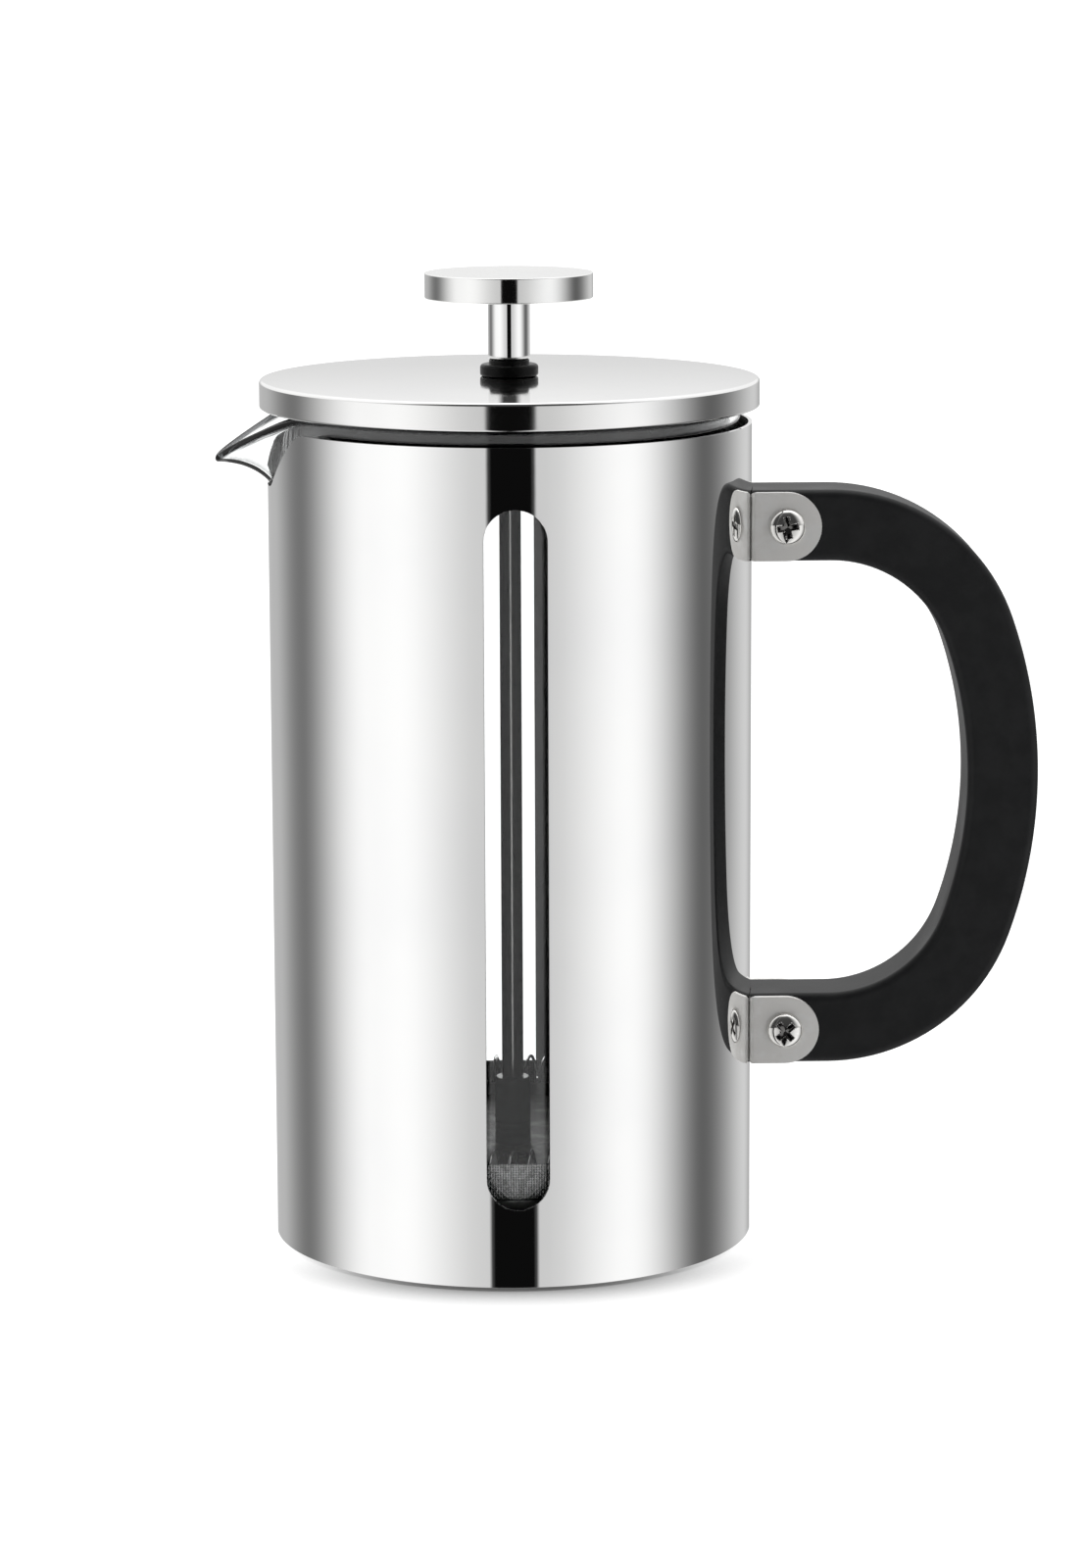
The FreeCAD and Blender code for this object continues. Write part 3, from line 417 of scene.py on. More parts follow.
def piece(name, shape, finish, node, smoothUnder=38.0, edge=0.0, inner=None):
    # a mesh in millimetres made into an object that stands for a CAD node and takes its body
    points, faces = shape
    mesh = bpy.data.meshes.new(name)
    mesh.from_pydata((points * mm).tolist(), [], faces.tolist())
    work = bmesh.new()
    work.from_mesh(mesh)
    bmesh.ops.remove_doubles(work, verts=work.verts, dist=0.0004 * mm)
    bmesh.ops.dissolve_degenerate(work, edges=work.edges, dist=0.0002 * mm)
    bmesh.ops.delete(work, geom=[e for e in work.edges if not e.link_faces], context="EDGES")
    bmesh.ops.delete(work, geom=[v for v in work.verts if not v.link_faces], context="VERTS")
    work.to_mesh(mesh)
    work.free()
    mesh.polygons.foreach_set("use_smooth", np.ones(len(mesh.polygons), bool))
    mesh.set_sharp_from_angle(angle=math.radians(smoothUnder))
    mesh.materials.append(finish)
    if inner:
        # faces nearer the axis than the given radius take the second finish
        mesh.materials.append(inner[0])
        centres = np.zeros(len(mesh.polygons) * 3)
        mesh.polygons.foreach_get("center", centres)
        near = np.hypot(centres[0::3], centres[1::3]) < inner[1] * mm
        mesh.polygons.foreach_set("material_index", near.astype(np.int32))
    made = bpy.data.objects.new(name, mesh)
    bpy.context.scene.collection.objects.link(made)
    if edge:
        bevel = made.modifiers.new("edge", "BEVEL")
        bevel.width = edge * mm
        bevel.segments = 3
        bevel.limit_method = "ANGLE"
        bevel.angle_limit = math.radians(smoothUnder)
        made.modifiers.new("normals", "WEIGHTED_NORMAL").keep_sharp = True
    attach(made, bodyOf(node))
    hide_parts(node)
    return made


def pointsOf(made):
    points = np.zeros(len(made.data.vertices) * 3)
    made.data.vertices.foreach_get("co", points)
    return points.reshape(-1, 3) / mm


def mark(made, name, values):
    # a number on each point, which the piece's finish reads
    made.data.attributes.new(name, "FLOAT", "POINT").data.foreach_set("value", values.astype(np.float32))


record = frame["record"]


def bodyOf(node):
    return next(body for body, members in record["behaviour"]["bodies"].items() if node in members)


def outline(corners, bends=6, support=0.12):
    # a closed outline in (radius, height): each corner (r, z, fillet) becomes an arc with a close point
    # either side of it, which keeps the flats flat in reflections
    corners = [tuple(c) + (0.0,) * (3 - len(c)) for c in corners]
    points = []
    for i, (r, z, fillet) in enumerate(corners):
        here = np.array([r, z])
        back = np.array(corners[i - 1][:2]) - here
        ahead = np.array(corners[(i + 1) % len(corners)][:2]) - here
        if not fillet:
            points.append(here)
            continue
        back, ahead = back / np.linalg.norm(back), ahead / np.linalg.norm(ahead)
        half = math.acos(np.clip(back @ ahead, -1, 1)) / 2
        reach = fillet / math.tan(half)
        centre = here + (back + ahead) / np.linalg.norm(back + ahead) * fillet / math.sin(half)
        start, end = here + back * reach, here + ahead * reach
        sweep = math.pi - 2 * half
        share = np.linspace(0, 1, bends + 1)[:, None]
        spokes = (np.sin((1 - share) * sweep) * (start - centre) + np.sin(share * sweep) * (end - centre))
        points.append(start + back * support)
        points.extend(centre + spokes / math.sin(sweep))
        points.append(end + ahead * support)
    return np.array(points)


def refine(profile, step):
    # splits long runs of an outline so that no run is longer than step
    parts = []
    for here, there in zip(profile, np.roll(profile, -1, axis=0)):
        count = max(1, math.ceil(np.linalg.norm(there - here) / step))
        parts.append(here + (there - here) * np.linspace(0, 1, count, endpoint=False)[:, None])
    return np.concatenate(parts)


def lathe(profile, steps=256, closed=True):
    # radius and height of each profile point, carried round Z
    turn = np.linspace(0, tau, steps, endpoint=False)
    profile = np.concatenate([profile, profile[:1]]) if closed else profile
    r, z = profile[:, 0][:, None], profile[:, 1][:, None]
    return turned(np.stack([r * np.cos(turn), r * np.sin(turn), z + 0 * turn], axis=-1))


def eased(count, sharp=2.2):
    # 0 to 1 with points crowded at both ends
    share = np.linspace(-1, 1, count)
    return 0.5 + 0.5 * np.tanh(sharp * share) / math.tanh(sharp)


sleeve = {
    "wall": 0.8, "windowHalf": 6.4, "windowLow": 16.9, "windowHigh": 159.1,
    "notchFloor": 159.2, "notchFloorHalf": 9.9, "notchMouthHalf": 25.0, "notchRound": 6.0,
    "edge": 0.14, "columnStep": 1.5, "beside": (0.2, 0.5), "rows": 15}


def notchEdge(y):
    # height of the sleeve's top edge at a sideways distance y from the spout:
    # floor, arc, straight slope, arc, top
    top, floor = high("sleeve", "z"), sleeve["notchFloor"]
    bend = sleeve["notchRound"]
    run = sleeve["notchMouthHalf"] - sleeve["notchFloorHalf"]
    slope = math.atan2(top - floor, run)
    reach = bend * math.tan(slope / 2)
    y = np.abs(y)
    lowStart = sleeve["notchFloorHalf"] - reach
    highEnd = sleeve["notchMouthHalf"] + reach
    straight = floor + (y - sleeve["notchFloorHalf"]) * math.tan(slope)
    lowArc = floor + bend - np.sqrt(np.maximum(bend ** 2 - (y - lowStart) ** 2, 0))
    highArc = top - bend + np.sqrt(np.maximum(bend ** 2 - (highEnd - y) ** 2, 0))
    lowEnd = sleeve["notchFloorHalf"] + reach * math.cos(slope)
    highStart = sleeve["notchMouthHalf"] - reach * math.cos(slope)
    return np.select([y < lowStart, y < lowEnd, y < highStart, y < highEnd],
                     [floor, lowArc, straight, highArc], top)


def makeSleeve():
    # columns are angles from the front; a window's columns are crowded where its ends are steep
    radius = high("sleeve", "x")
    foot, top = low("sleeve", "z"), high("sleeve", "z")
    half = math.degrees(math.asin(sleeve["windowHalf"] / radius))
    crowded = np.sin(np.linspace(-1, 1, 33) * math.pi / 2)
    window = np.degrees(np.arcsin(sleeve["windowHalf"] / radius * crowded))
    beside = half + np.array(sleeve["beside"])
    near = np.concatenate([-beside[::-1], window, beside])
    quarter = np.arange(half + 1.5, 180 - half - 1.2, sleeve["columnStep"])
    angle = np.concatenate([near, quarter, near + 180, quarter + 180])
    turn = np.radians(angle)
    x, y = radius * np.sin(turn), -radius * np.cos(turn)
    inWindow = np.abs(x) < sleeve["windowHalf"] + 1e-6
    rise = np.sqrt(np.maximum(sleeve["windowHalf"] ** 2 - x ** 2, 0)) * inWindow
    lowArc = sleeve["windowLow"] + sleeve["windowHalf"] - rise
    highArc = sleeve["windowHigh"] - sleeve["windowHalf"] + rise
    edge = np.where(x < 0, notchEdge(y), top)
    # three bands of rows: below the windows, beside them and above them
    rows = sleeve["rows"]
    share = eased(rows)[:, None]
    below = foot + (lowArc - foot) * share
    middle = lowArc + (highArc - lowArc) * share[1:]
    above = highArc + (edge - highArc) * share[1:]
    z = np.concatenate([below, middle, above])
    skins = [np.stack([z * 0 + x * k, z * 0 + y * k, z], axis=-1) for k in (1.0, 1 - sleeve["wall"] / radius)]
    kept = np.ones((z.shape[0] - 1, z.shape[1]), bool)
    kept[rows - 1:2 * rows - 2] = ~(inWindow & np.roll(inWindow, -1))
    piece("sleeveShell", sheetWall(*skins, kept, True), mirrorSteel, "sleeve",
          edge=sleeve["edge"], inner=(shadedInnerSteel, radius - sleeve["wall"] + 0.05))


pad = {
    "gripPitch": 3.0, "gripDepth": 0.18, "gripFrom": 9.0, "margin": 1.2, "footRound": 0.5, "topRound": 0.3}


def makeFoot():
    # moulded grip rings underneath: height = depth (1 - cos(2 pi r / pitch)) / 2
    outer, foot, top = high("base_pad", "x"), low("base_pad", "z"), high("base_pad", "z")
    r = np.linspace(0, outer - pad["margin"], 160)
    ridge = (0.5 - 0.5 * np.cos(r * tau / pad["gripPitch"])) * (r > pad["gripFrom"])
    corners = outline([(outer, foot, pad["footRound"]), (outer, top, pad["topRound"]), (0.0, top)])
    profile = np.concatenate([np.stack([r, foot + pad["gripDepth"] * ridge], -1), corners])
    piece("footPad", lathe(profile, 128, closed=False), silicone, "base_pad")


beaker = {
    "wall": 2.0, "beakWall": 1.45, "floor": 3.0, "heel": 6.0, "innerHeel": 5.0, "beakHalfAngle": 33.0,
    "beakPower": 2.5, "beakSoft": 0.04, "beakRoot": 154.0, "rootBelowRim": 3.0, "fallAngle": 44.0,
    "fallPower": 2.5, "tipDrop": 10.2, "columns": 288, "crowding": 0.65,
    # how far the bead's painted shade fades, and how dark and wide the painted shade in the fold under the
    # beak is
    "beadFade": 0.15, "foldShare": 0.5, "foldHalf": 1.6}


def makeBeaker():
    # wall line of each column: straight up, then a quarter ellipse out to the rim, whose reach
    # dies away either side of the beak
    radius = high("glass_beaker", "y")
    foot, rim = low("glass_beaker", "z"), high("glass_beaker", "z")
    spread = np.linspace(-1, 1, beaker["columns"], endpoint=False)
    crowding = beaker["crowding"]
    turn = math.pi * ((1 - crowding) * spread + crowding * spread ** 3)  # columns crowd towards the beak
    degrees = np.abs(np.degrees(turn))
    share = degrees / beaker["beakHalfAngle"]
    soft = np.sqrt(share ** 2 + beaker["beakSoft"] ** 2) - beaker["beakSoft"]
    pull = (1 - np.minimum(soft, 1)) ** beaker["beakPower"]
    # the rim dips slowly at first, and steeply near the lip
    fall = (1 - np.minimum(degrees / beaker["fallAngle"], 1)) ** beaker["fallPower"]
    # blown thinner where it was pulled
    wall = beaker["wall"] + (beaker["beakWall"] - beaker["wall"]) * np.minimum(pull * 3, 1)
    half = wall / 2
    tipOut = -low("glass_beaker", "x") - beaker["beakWall"] / 2
    reach = radius + (tipOut - radius) * pull
    rimHeight = rim - beaker["tipDrop"] * fall
    lip = rimHeight - half - half * pull
    root = beaker["beakRoot"] + (rim - beaker["rootBelowRim"] - beaker["beakRoot"]) * (1 - pull ** 0.5)
    t = np.linspace(0, 1, 25)[:, None] * math.pi / 2
    out = radius + (reach - radius) * (1 - np.cos(t))
    up = root + (lip - root) * np.sin(t)
    heel = np.linspace(0, math.pi / 2, 9)[:, None]
    bottom = beaker["heel"]
    flat = np.linspace(0, radius - bottom, 8)[:, None]
    wallShare = np.linspace(0, 1, 14)[1:-1, None]
    one = np.ones_like(turn)
    outR = np.concatenate([
        flat * one, (radius - bottom + bottom * np.sin(heel))[1:] * one,
        radius * one * np.ones_like(wallShare), out])
    outZ = np.concatenate([
        (foot + 0 * flat) * one, (foot + bottom - bottom * np.cos(heel))[1:] * one,
        foot + bottom + (root - foot - bottom) * wallShare, up])
    # the inner skin of the upper part stands one wall thickness off the outer skin
    dr, dz = np.gradient(out, axis=0), np.gradient(up, axis=0)
    length = np.hypot(dr, dz)
    acrossR, acrossZ = dz / length, -dr / length
    thick = beaker["wall"] + (wall - beaker["wall"]) * np.sin(t)
    inR, inZ = out - thick * acrossR, up - thick * acrossZ
    centreR, centreZ = out[-1] - half * acrossR[-1], up[-1] - half * acrossZ[-1]
    alongR, alongZ = dr[-1] / length[-1], dz[-1] / length[-1]
    bend = np.linspace(0, math.pi, 11)[1:-1, None]
    rimR = centreR + half * (np.cos(bend) * acrossR[-1] + np.sin(bend) * alongR)
    rimZ = centreZ + half * (np.cos(bend) * acrossZ[-1] + np.sin(bend) * alongZ)
    room = radius - beaker["wall"]
    floor = foot + beaker["floor"]
    inner = beaker["innerHeel"]
    back = np.linspace(1, 0, 14)[1:-1, None]
    lowR = np.concatenate([
        room * one * np.ones_like(back), (room - inner + inner * np.sin(heel))[::-1] * one,
        flat[::-1] * (room - inner) / (radius - bottom) * one])
    lowZ = np.concatenate([
        floor + inner + (inZ[0] - floor - inner) * back,
        (floor + inner - inner * np.cos(heel))[::-1] * one, floor * one * np.ones_like(flat)])
    r = np.concatenate([outR, rimR, inR[::-1], lowR])
    z = np.concatenate([outZ, rimZ, inZ[::-1], lowZ])
    grid = np.stack([-r * np.cos(turn), -r * np.sin(turn), z], axis=-1)
    made = piece("beakerGlass", turned(grid), clearGlass, "glass_beaker", smoothUnder=60)
    # the fire-polished bead round the rim gets a painted shade, for the dark collar seen through it
    px, py, pz = pointsOf(made).T
    around = np.arctan2(-py, -px)
    beadR, beadZ = np.interp(around, turn, centreR), np.interp(around, turn, centreZ)
    off = np.hypot(np.hypot(px, py) - beadR, pz - beadZ) - np.interp(around, turn, half)
    rimShadeShare = 1 - ((off - 0.01) / beaker["beadFade"]).clip(0, 1)
    # and the fold under the beak gets a lighter painted shade
    fold = beaker["foldShare"] * (1 - (np.abs(py) / beaker["foldHalf"]).clip(0, 1)) * (px < -radius - 0.5)
    mark(made, "rim", np.maximum(rimShadeShare, fold))


handle = {
    "band": 14.75, "edge": 1.6, "straight": 16.0, "shoulder": 40.0, "gap": 1.6, "lip": 0.9, "lipGap": 0.12,
    "sleeveRadius": 50.0}


def handleLine(steps=26):
    # outer edge of the band: straight, shoulder arc, grip arc, shoulder arc, straight.
    # gives each station's place and its outward direction in the XZ plane
    top, bottom = high("handle", "z"), low("handle", "z")
    reach = high("handle", "x")
    shoulder = handle["shoulder"]
    turnX = handle["sleeveRadius"] + handle["straight"]
    middle = (top + bottom) / 2
    arm = reach - shoulder
    rise = top - shoulder - middle
    gripX = (arm ** 2 - turnX ** 2 - rise ** 2) / (2 * (arm - turnX))
    lean = math.atan2(rise, turnX - gripX)
    start = handle["sleeveRadius"] + handle["gap"]
    run = np.linspace(start, turnX, 8)[:-1]
    first = np.linspace(math.pi / 2, lean, steps)
    grip = np.linspace(lean, -lean, steps * 2)[1:-1]
    x = np.concatenate([run, turnX + shoulder * np.cos(first), gripX + (reach - gripX) * np.cos(grip)])
    z = np.concatenate([run * 0 + top, top - shoulder + shoulder * np.sin(first),
                        middle + (reach - gripX) * np.sin(grip)])
    angle = np.concatenate([run * 0 + math.pi / 2, first, grip])
    tail = slice(None, len(run) + steps)
    x = np.concatenate([x, x[tail][::-1]])
    z = np.concatenate([z, 2 * middle - z[tail][::-1]])
    angle = np.concatenate([angle, -angle[tail][::-1]])
    return x, z, angle


def makeHandle():
    # a rounded rectangle carried along the band's line; its first and last sections follow the sleeve
    width = high("handle", "y")
    x, z, angle = handleLine()
    band, edge = handle["band"], handle["edge"]
    ring = refine(outline([(-band, -width, edge), (0, -width, edge), (0, width, edge), (-band, width, edge)],
                          6, 0.25), 4.0)
    depth, side = ring[:, 0][None, :], ring[:, 1][None, :]
    px = x[:, None] + depth * np.cos(angle)[:, None]
    pz = z[:, None] + depth * np.sin(angle)[:, None]
    py = side + 0 * px
    # the end faces follow the web, with a lip above and below it that reaches the sleeve
    lip = np.abs(depth[0] + band / 2) > band / 2 - handle["lip"]
    end = handle["sleeveRadius"] + np.where(lip, handle["lipGap"], handle["gap"])
    hollow = np.sqrt(end ** 2 - side[0] ** 2)
    px[0], px[-1] = hollow, hollow
    grid = np.stack([px, py, pz], axis=-1)
    middle = handle["sleeveRadius"] + handle["gap"]
    ends = [np.broadcast_to(np.array([middle, 0.0, pz[i].mean()]), grid[0].shape)[None] for i in (0, -1)]
    grid = np.concatenate([ends[0], grid, ends[1]])
    piece("handleBand", turned(grid[:, ::-1]), handleBlack, "handle")


bracket = {
    "sheet": 1.2, "bend": 1.0, "noseOut": 6.8, "edge": 0.16, "sleeveRadius": 50.0, "tuck": 0.02,
    "relief": 0.9}


def saddleShape(node):
    # plan line of the outer face from one nose round the web to the other: leg, bend, web along
    # the sleeve, bend, leg. Its height follows a half circle at both noses
    half = (high(node, "z") - low(node, "z")) / 2
    middle = (high(node, "z") + low(node, "z")) / 2
    sheet, bend = bracket["sheet"], bracket["bend"]
    face = high(node, "y")
    skin = bracket["sleeveRadius"] + bracket["tuck"]
    nose = bracket["sleeveRadius"] + bracket["noseOut"]
    pivotY = face - bend
    pivotX = math.sqrt((skin + bend) ** 2 - pivotY ** 2)
    meet = math.atan2(pivotY, pivotX)
    ease = np.linspace(0, math.pi / 2, 15)
    legX = np.concatenate([nose + half * np.cos(ease)[:-1], np.linspace(nose, pivotX, 9)])
    height = np.concatenate([half * np.sin(ease)[:-1], np.full(9, half)])
    swing = np.linspace(math.pi / 2, math.pi + meet, 11)[1:-1]
    web = np.linspace(meet, 0, 9)
    # the inner face is a sheet away: straight in from a leg, and further from the axis along the web
    x = np.concatenate([legX, pivotX + bend * np.cos(swing), skin * np.cos(web)])
    y = np.concatenate([legX * 0 + face, pivotY + bend * np.sin(swing), skin * np.sin(web)])
    outer, level = skin + sheet, face - sheet
    corner = math.sqrt(outer ** 2 - level ** 2)
    fan = np.linspace(math.asin(level / outer), 0, 9)
    inX = np.concatenate([np.maximum(legX, corner), swing * 0 + corner, outer * np.cos(fan)])
    inY = np.concatenate([legX * 0 + level, swing * 0 + level, outer * np.sin(fan)])
    # the web is a little lower than the legs, so the handle's lips close over it
    relief = np.linspace(0, 1, len(swing)) ** 3
    height = np.concatenate([height, half - bracket["relief"] * relief, np.full(9, half - bracket["relief"])])
    x, inX, height = (np.concatenate([v, v[-2::-1]]) for v in (x, inX, height))
    y, inY = (np.concatenate([v, -v[-2::-1]]) for v in (y, inY))
    z = middle + np.linspace(-1, 1, 17)[:, None] * height
    outside = np.stack([x + 0 * z, y + 0 * z, z], axis=-1)
    inside = np.stack([inX + 0 * z, inY + 0 * z, z], axis=-1)
    kept = np.ones((outside.shape[0] - 1, outside.shape[1] - 1), bool)
    return sheetWall(outside, inside, kept, False)


screw = {
    "head": 3.8, "headHeight": 2.1, "shank": 2.0, "recessHalf": 2.25, "recessArm": 0.6, "recessDepth": 1.3,
    "recessSlope": 0.16, "dome": 2.3, "grip": 7.2, "crossPart": 0.66, "rolls": {"upper": 8.0, "lower": 40.0}}


def screwShape(place, direction, roll):
    # domed head: (r / R)^n + (z / H)^n = 1, with a cross pressed in; each arm's wall slopes.
    # rings are even over the part that the cross takes, and then crowd towards the edge
    turn = np.linspace(0, tau, 96, endpoint=False)
    part, grip = screw["crossPart"], screw["grip"]
    share = np.concatenate([np.linspace(0, part, 30), 1 - (1 - part) * (1 - np.linspace(0, 1, 14)[1:]) ** 2])
    r = share[:, None] * screw["head"]
    z = screw["headHeight"] * (1 - share[:, None] ** screw["dome"]).clip(0) ** (1 / screw["dome"])
    x, y = r * np.cos(turn), r * np.sin(turn)
    long, short = screw["recessHalf"], screw["recessArm"]
    deep = np.minimum(np.maximum(np.abs(x) - long, np.abs(y) - short),
                      np.maximum(np.abs(x) - short, np.abs(y) - long))
    press = np.clip(-deep / screw["recessSlope"], 0, 1)
    z = z - screw["recessDepth"] * press * (1 - 0.4 * r / long).clip(0)
    ring = np.array([[screw["shank"], 0.0], [screw["shank"], -grip], [0.0, -grip]])
    lowR = ring[:, 0][:, None] + 0 * turn
    lowZ = ring[:, 1][:, None] + 0 * turn
    grid = np.stack([np.concatenate([x, lowR * np.cos(turn)]), np.concatenate([y, lowR * np.sin(turn)]),
                     np.concatenate([z, lowZ])], axis=-1)
    out = np.array(direction, float)
    side = np.cross(out, [0, 0, 1.0])
    spin = math.radians(roll)
    axes = np.array([side * math.cos(spin) + np.cross(out, side) * math.sin(spin),
                     np.cross(out, side) * math.cos(spin) - side * math.sin(spin), out])
    points, faces = turned(grid[::-1])
    return points @ axes + np.array(place), faces


def markRecessShade(made, place, direction):
    # painted shade in the cross recess: 1 down in the recess, 0 on the head's face
    local = pointsOf(made) - np.array(place)
    out = np.array(direction, float)
    along = local @ out
    off = np.linalg.norm(local - along[:, None] * out, axis=1)
    share, dome = (off / screw["head"]).clip(0, 1), screw["dome"]
    face = screw["headHeight"] * (1 - share ** dome) ** (1 / dome)
    sunk = ((face - along - 0.15) / 0.5).clip(0, 1) * (off < screw["recessHalf"] + 0.1) * (along > -0.1)
    mark(made, "sunk", sunk)


def makeFastenings():
    # a saddle on each arm, and a screw through each of its legs
    outX = bracket["sleeveRadius"] + bracket["noseOut"]
    for level, roll in screw["rolls"].items():
        node = f"{level}_bracket"
        piece(f"{level}Saddle", saddleShape(node), satinNickel, node, edge=bracket["edge"])
        arm = (high(node, "z") + low(node, "z")) / 2
        for name, side in (("front", -1), ("rear", 1)):
            place, out = (outX, side * high(node, "y"), arm), (0, side, 0)
            made = piece(f"{level}HandleScrew.{name}", screwShape(place, out, roll), screwSteel,
                         f"{level}_{name}_handle_screw", smoothUnder=50)
            markRecessShade(made, place, out)


lid = {"sheet": 0.8, "lip": 1.2, "topRound": 0.7, "footRound": 0.5, "crown": 0.3, "hole": 4.2}


def makeLid():
    # pressed disc with a turned-down rim; its top is crowned by a parabola
    outer, foot, top = high("lid_cap", "x"), low("lid_cap", "z"), high("lid_cap", "z")
    under, skirt, lip = top - lid["sheet"], outer - lid["sheet"], outer - lid["lip"]
    profile = refine(outline([
        (lid["hole"], under), (skirt, under, 0.3), (skirt, foot + lid["sheet"]), (lip, foot + lid["sheet"]),
        (lip, foot), (outer, foot, lid["footRound"]), (outer, top, lid["topRound"]), (lid["hole"], top)],
        8, 0.15), 2.5)
    r, z = profile[:, 0], profile[:, 1]
    share = ((r - lid["hole"]) / (outer - lid["hole"])).clip(0, 1)
    z = z - lid["crown"] * share ** 2 * ((z - foot) / (top - foot)).clip(0, 1)
    piece("lidCap", lathe(np.stack([r, z], -1), 320), lidSteel, "lid_cap")


insert = {
    "ceiling": 1.6, "collarOuter": 44.6, "wall": 1.6, "rim": 1.5, "hole": 6.85, "slits": 9, "slitWidth": 1.4,
    "slitPitch": 5.0, "slitLow": 164.6, "slitHigh": 171.6, "columnStep": 3.0}


def makeInsert():
    # turned shoulder and ceiling, and a collar wall with a fan of slits facing the beak
    outer, top = high("lid_insert", "x"), high("lid_insert", "z")
    foot = low("lid_insert", "z")
    seat = high("glass_beaker", "z")
    ceiling = seat + insert["ceiling"]
    collar, wall = insert["collarOuter"], insert["wall"]
    shoulder = refine(outline([
        (insert["hole"], seat), (outer, seat, 0.6), (outer, top, 0.25), (outer - insert["rim"], top, 0.25),
        (outer - insert["rim"], ceiling), (insert["hole"], ceiling)]), 6.0)
    halfSlit = math.degrees(insert["slitWidth"] / 2 / collar)
    count = np.arange(insert["slits"]) - (insert["slits"] - 1) / 2
    edges = np.sort(np.concatenate([180 + count * insert["slitPitch"] - halfSlit,
                                    180 + count * insert["slitPitch"] + halfSlit]))
    step = insert["columnStep"]
    rest = np.arange(edges[-1] + step, 360 + edges[0] - step / 2, step)
    angle = np.radians(np.concatenate([edges, rest]))
    z = np.array([foot, foot + 0.3, insert["slitLow"], insert["slitHigh"], seat - 0.5, seat])
    skins = [np.stack([r * np.cos(angle) + 0 * z[:, None], r * np.sin(angle) + 0 * z[:, None],
                       z[:, None] + 0 * angle], axis=-1) for r in (collar, collar - wall)]
    kept = np.ones((len(z) - 1, len(angle)), bool)
    kept[2, 0:len(edges):2] = False
    shape = together(lathe(shoulder, 240), sheetWall(*skins, kept, True))
    piece("lidInsert", shape, collarBlack, "lid_insert")


bush = {
    "bore": 2.3, "neck": 4.15, "plug": 5.6, "flange": 6.0, "flangeHeight": 2.5, "above": 0.05, "clip": 0.9}


def makeBush():
    # clipped in the lid's hole: a plug below the sheet, a flange above it and a neck round the rod
    bore, foot, top = bush["bore"], low("rod_bush", "z"), high("rod_bush", "z")
    neck, plug, flange = bush["neck"], bush["plug"], bush["flange"]
    seat = high("lid_cap", "z") + bush["above"]
    under, shoulder = seat - bush["clip"], seat + bush["flangeHeight"]
    profile = outline([
        (bore, foot), (plug, foot, 0.3), (plug, under, 0.3), (neck, under), (neck, seat),
        (flange, seat, 0.55), (flange, shoulder, 0.75), (neck, shoulder, 0.15), (neck, top, 0.3),
        (bore, top, 0.15)], 6, 0.04)
    piece("rodBush", lathe(profile, 96), bushRubber, "rod_bush")


rod = {"pitch": 0.7, "thread": 2.0, "threadDepth": 0.14, "threadLength": 3.9, "chamfer": 0.15}


def makeRod():
    # a fine thread cut at each end: radius = thread - depth |sin(pi z / pitch)|
    shaft, foot, top = high("plunger_rod", "x"), low("plunger_rod", "z"), high("plunger_rod", "z")
    thread, chamfer = rod["thread"], rod["chamfer"]
    neck, shoulder = top - rod["threadLength"], foot + rod["threadLength"]
    count = 48
    turns = int(rod["threadLength"] / rod["pitch"])
    wave = rod["threadDepth"] * np.abs(np.sin(np.linspace(0, turns * math.pi, count)))
    lowEnd = np.stack([thread - wave, np.linspace(foot, shoulder - 0.05, count)], -1)
    highEnd = np.stack([thread - wave, np.linspace(neck + 0.05, top, count)], -1)
    body = np.array([
        [thread, shoulder], [shaft - chamfer, shoulder], [shaft, shoulder + chamfer],
        [shaft, neck - chamfer], [shaft - chamfer, neck], [thread, neck]])
    profile = np.concatenate([[[0, foot]], lowEnd, refine(body, 12.0)[:-1], highEnd, [[0, top]]])
    piece("plungerRod", lathe(profile, 64, closed=False), shadedRodSteel, "plunger_rod")


knob = {
    "ferruleBore": 2.32, "ferruleRound": 0.35, "threadBore": 2.05, "threadDepth": 3.8,
    "footRound": 0.3, "topRound": 0.22}


def makeFerrule():
    outer, foot, top = high("knob_ferrule", "x"), low("knob_ferrule", "z"), high("knob_ferrule", "z")
    bore = knob["ferruleBore"]
    profile = outline([(bore, foot), (outer, foot, knob["ferruleRound"]), (outer, top), (bore, top)], 6, 0.1)
    piece("knobFerrule", lathe(profile, 128), mirrorSteel, "knob_ferrule")


def makeKnob():
    # a disc with a blind threaded bore from below
    outer, foot, top = high("knob", "x"), low("knob", "z"), high("knob", "z")
    bore, deep = knob["threadBore"], foot + knob["threadDepth"]
    profile = refine(outline([
        (bore, foot), (outer, foot, knob["footRound"]), (outer, top, knob["topRound"]), (0.0, top),
        (0.0, deep), (bore, deep)], 7, 0.08), 1.5)
    piece("knobDisc", lathe(profile, 256), knobSteel, "knob")


spring = {"turns": 70, "wire": 0.36, "steps": 22, "sides": 7}


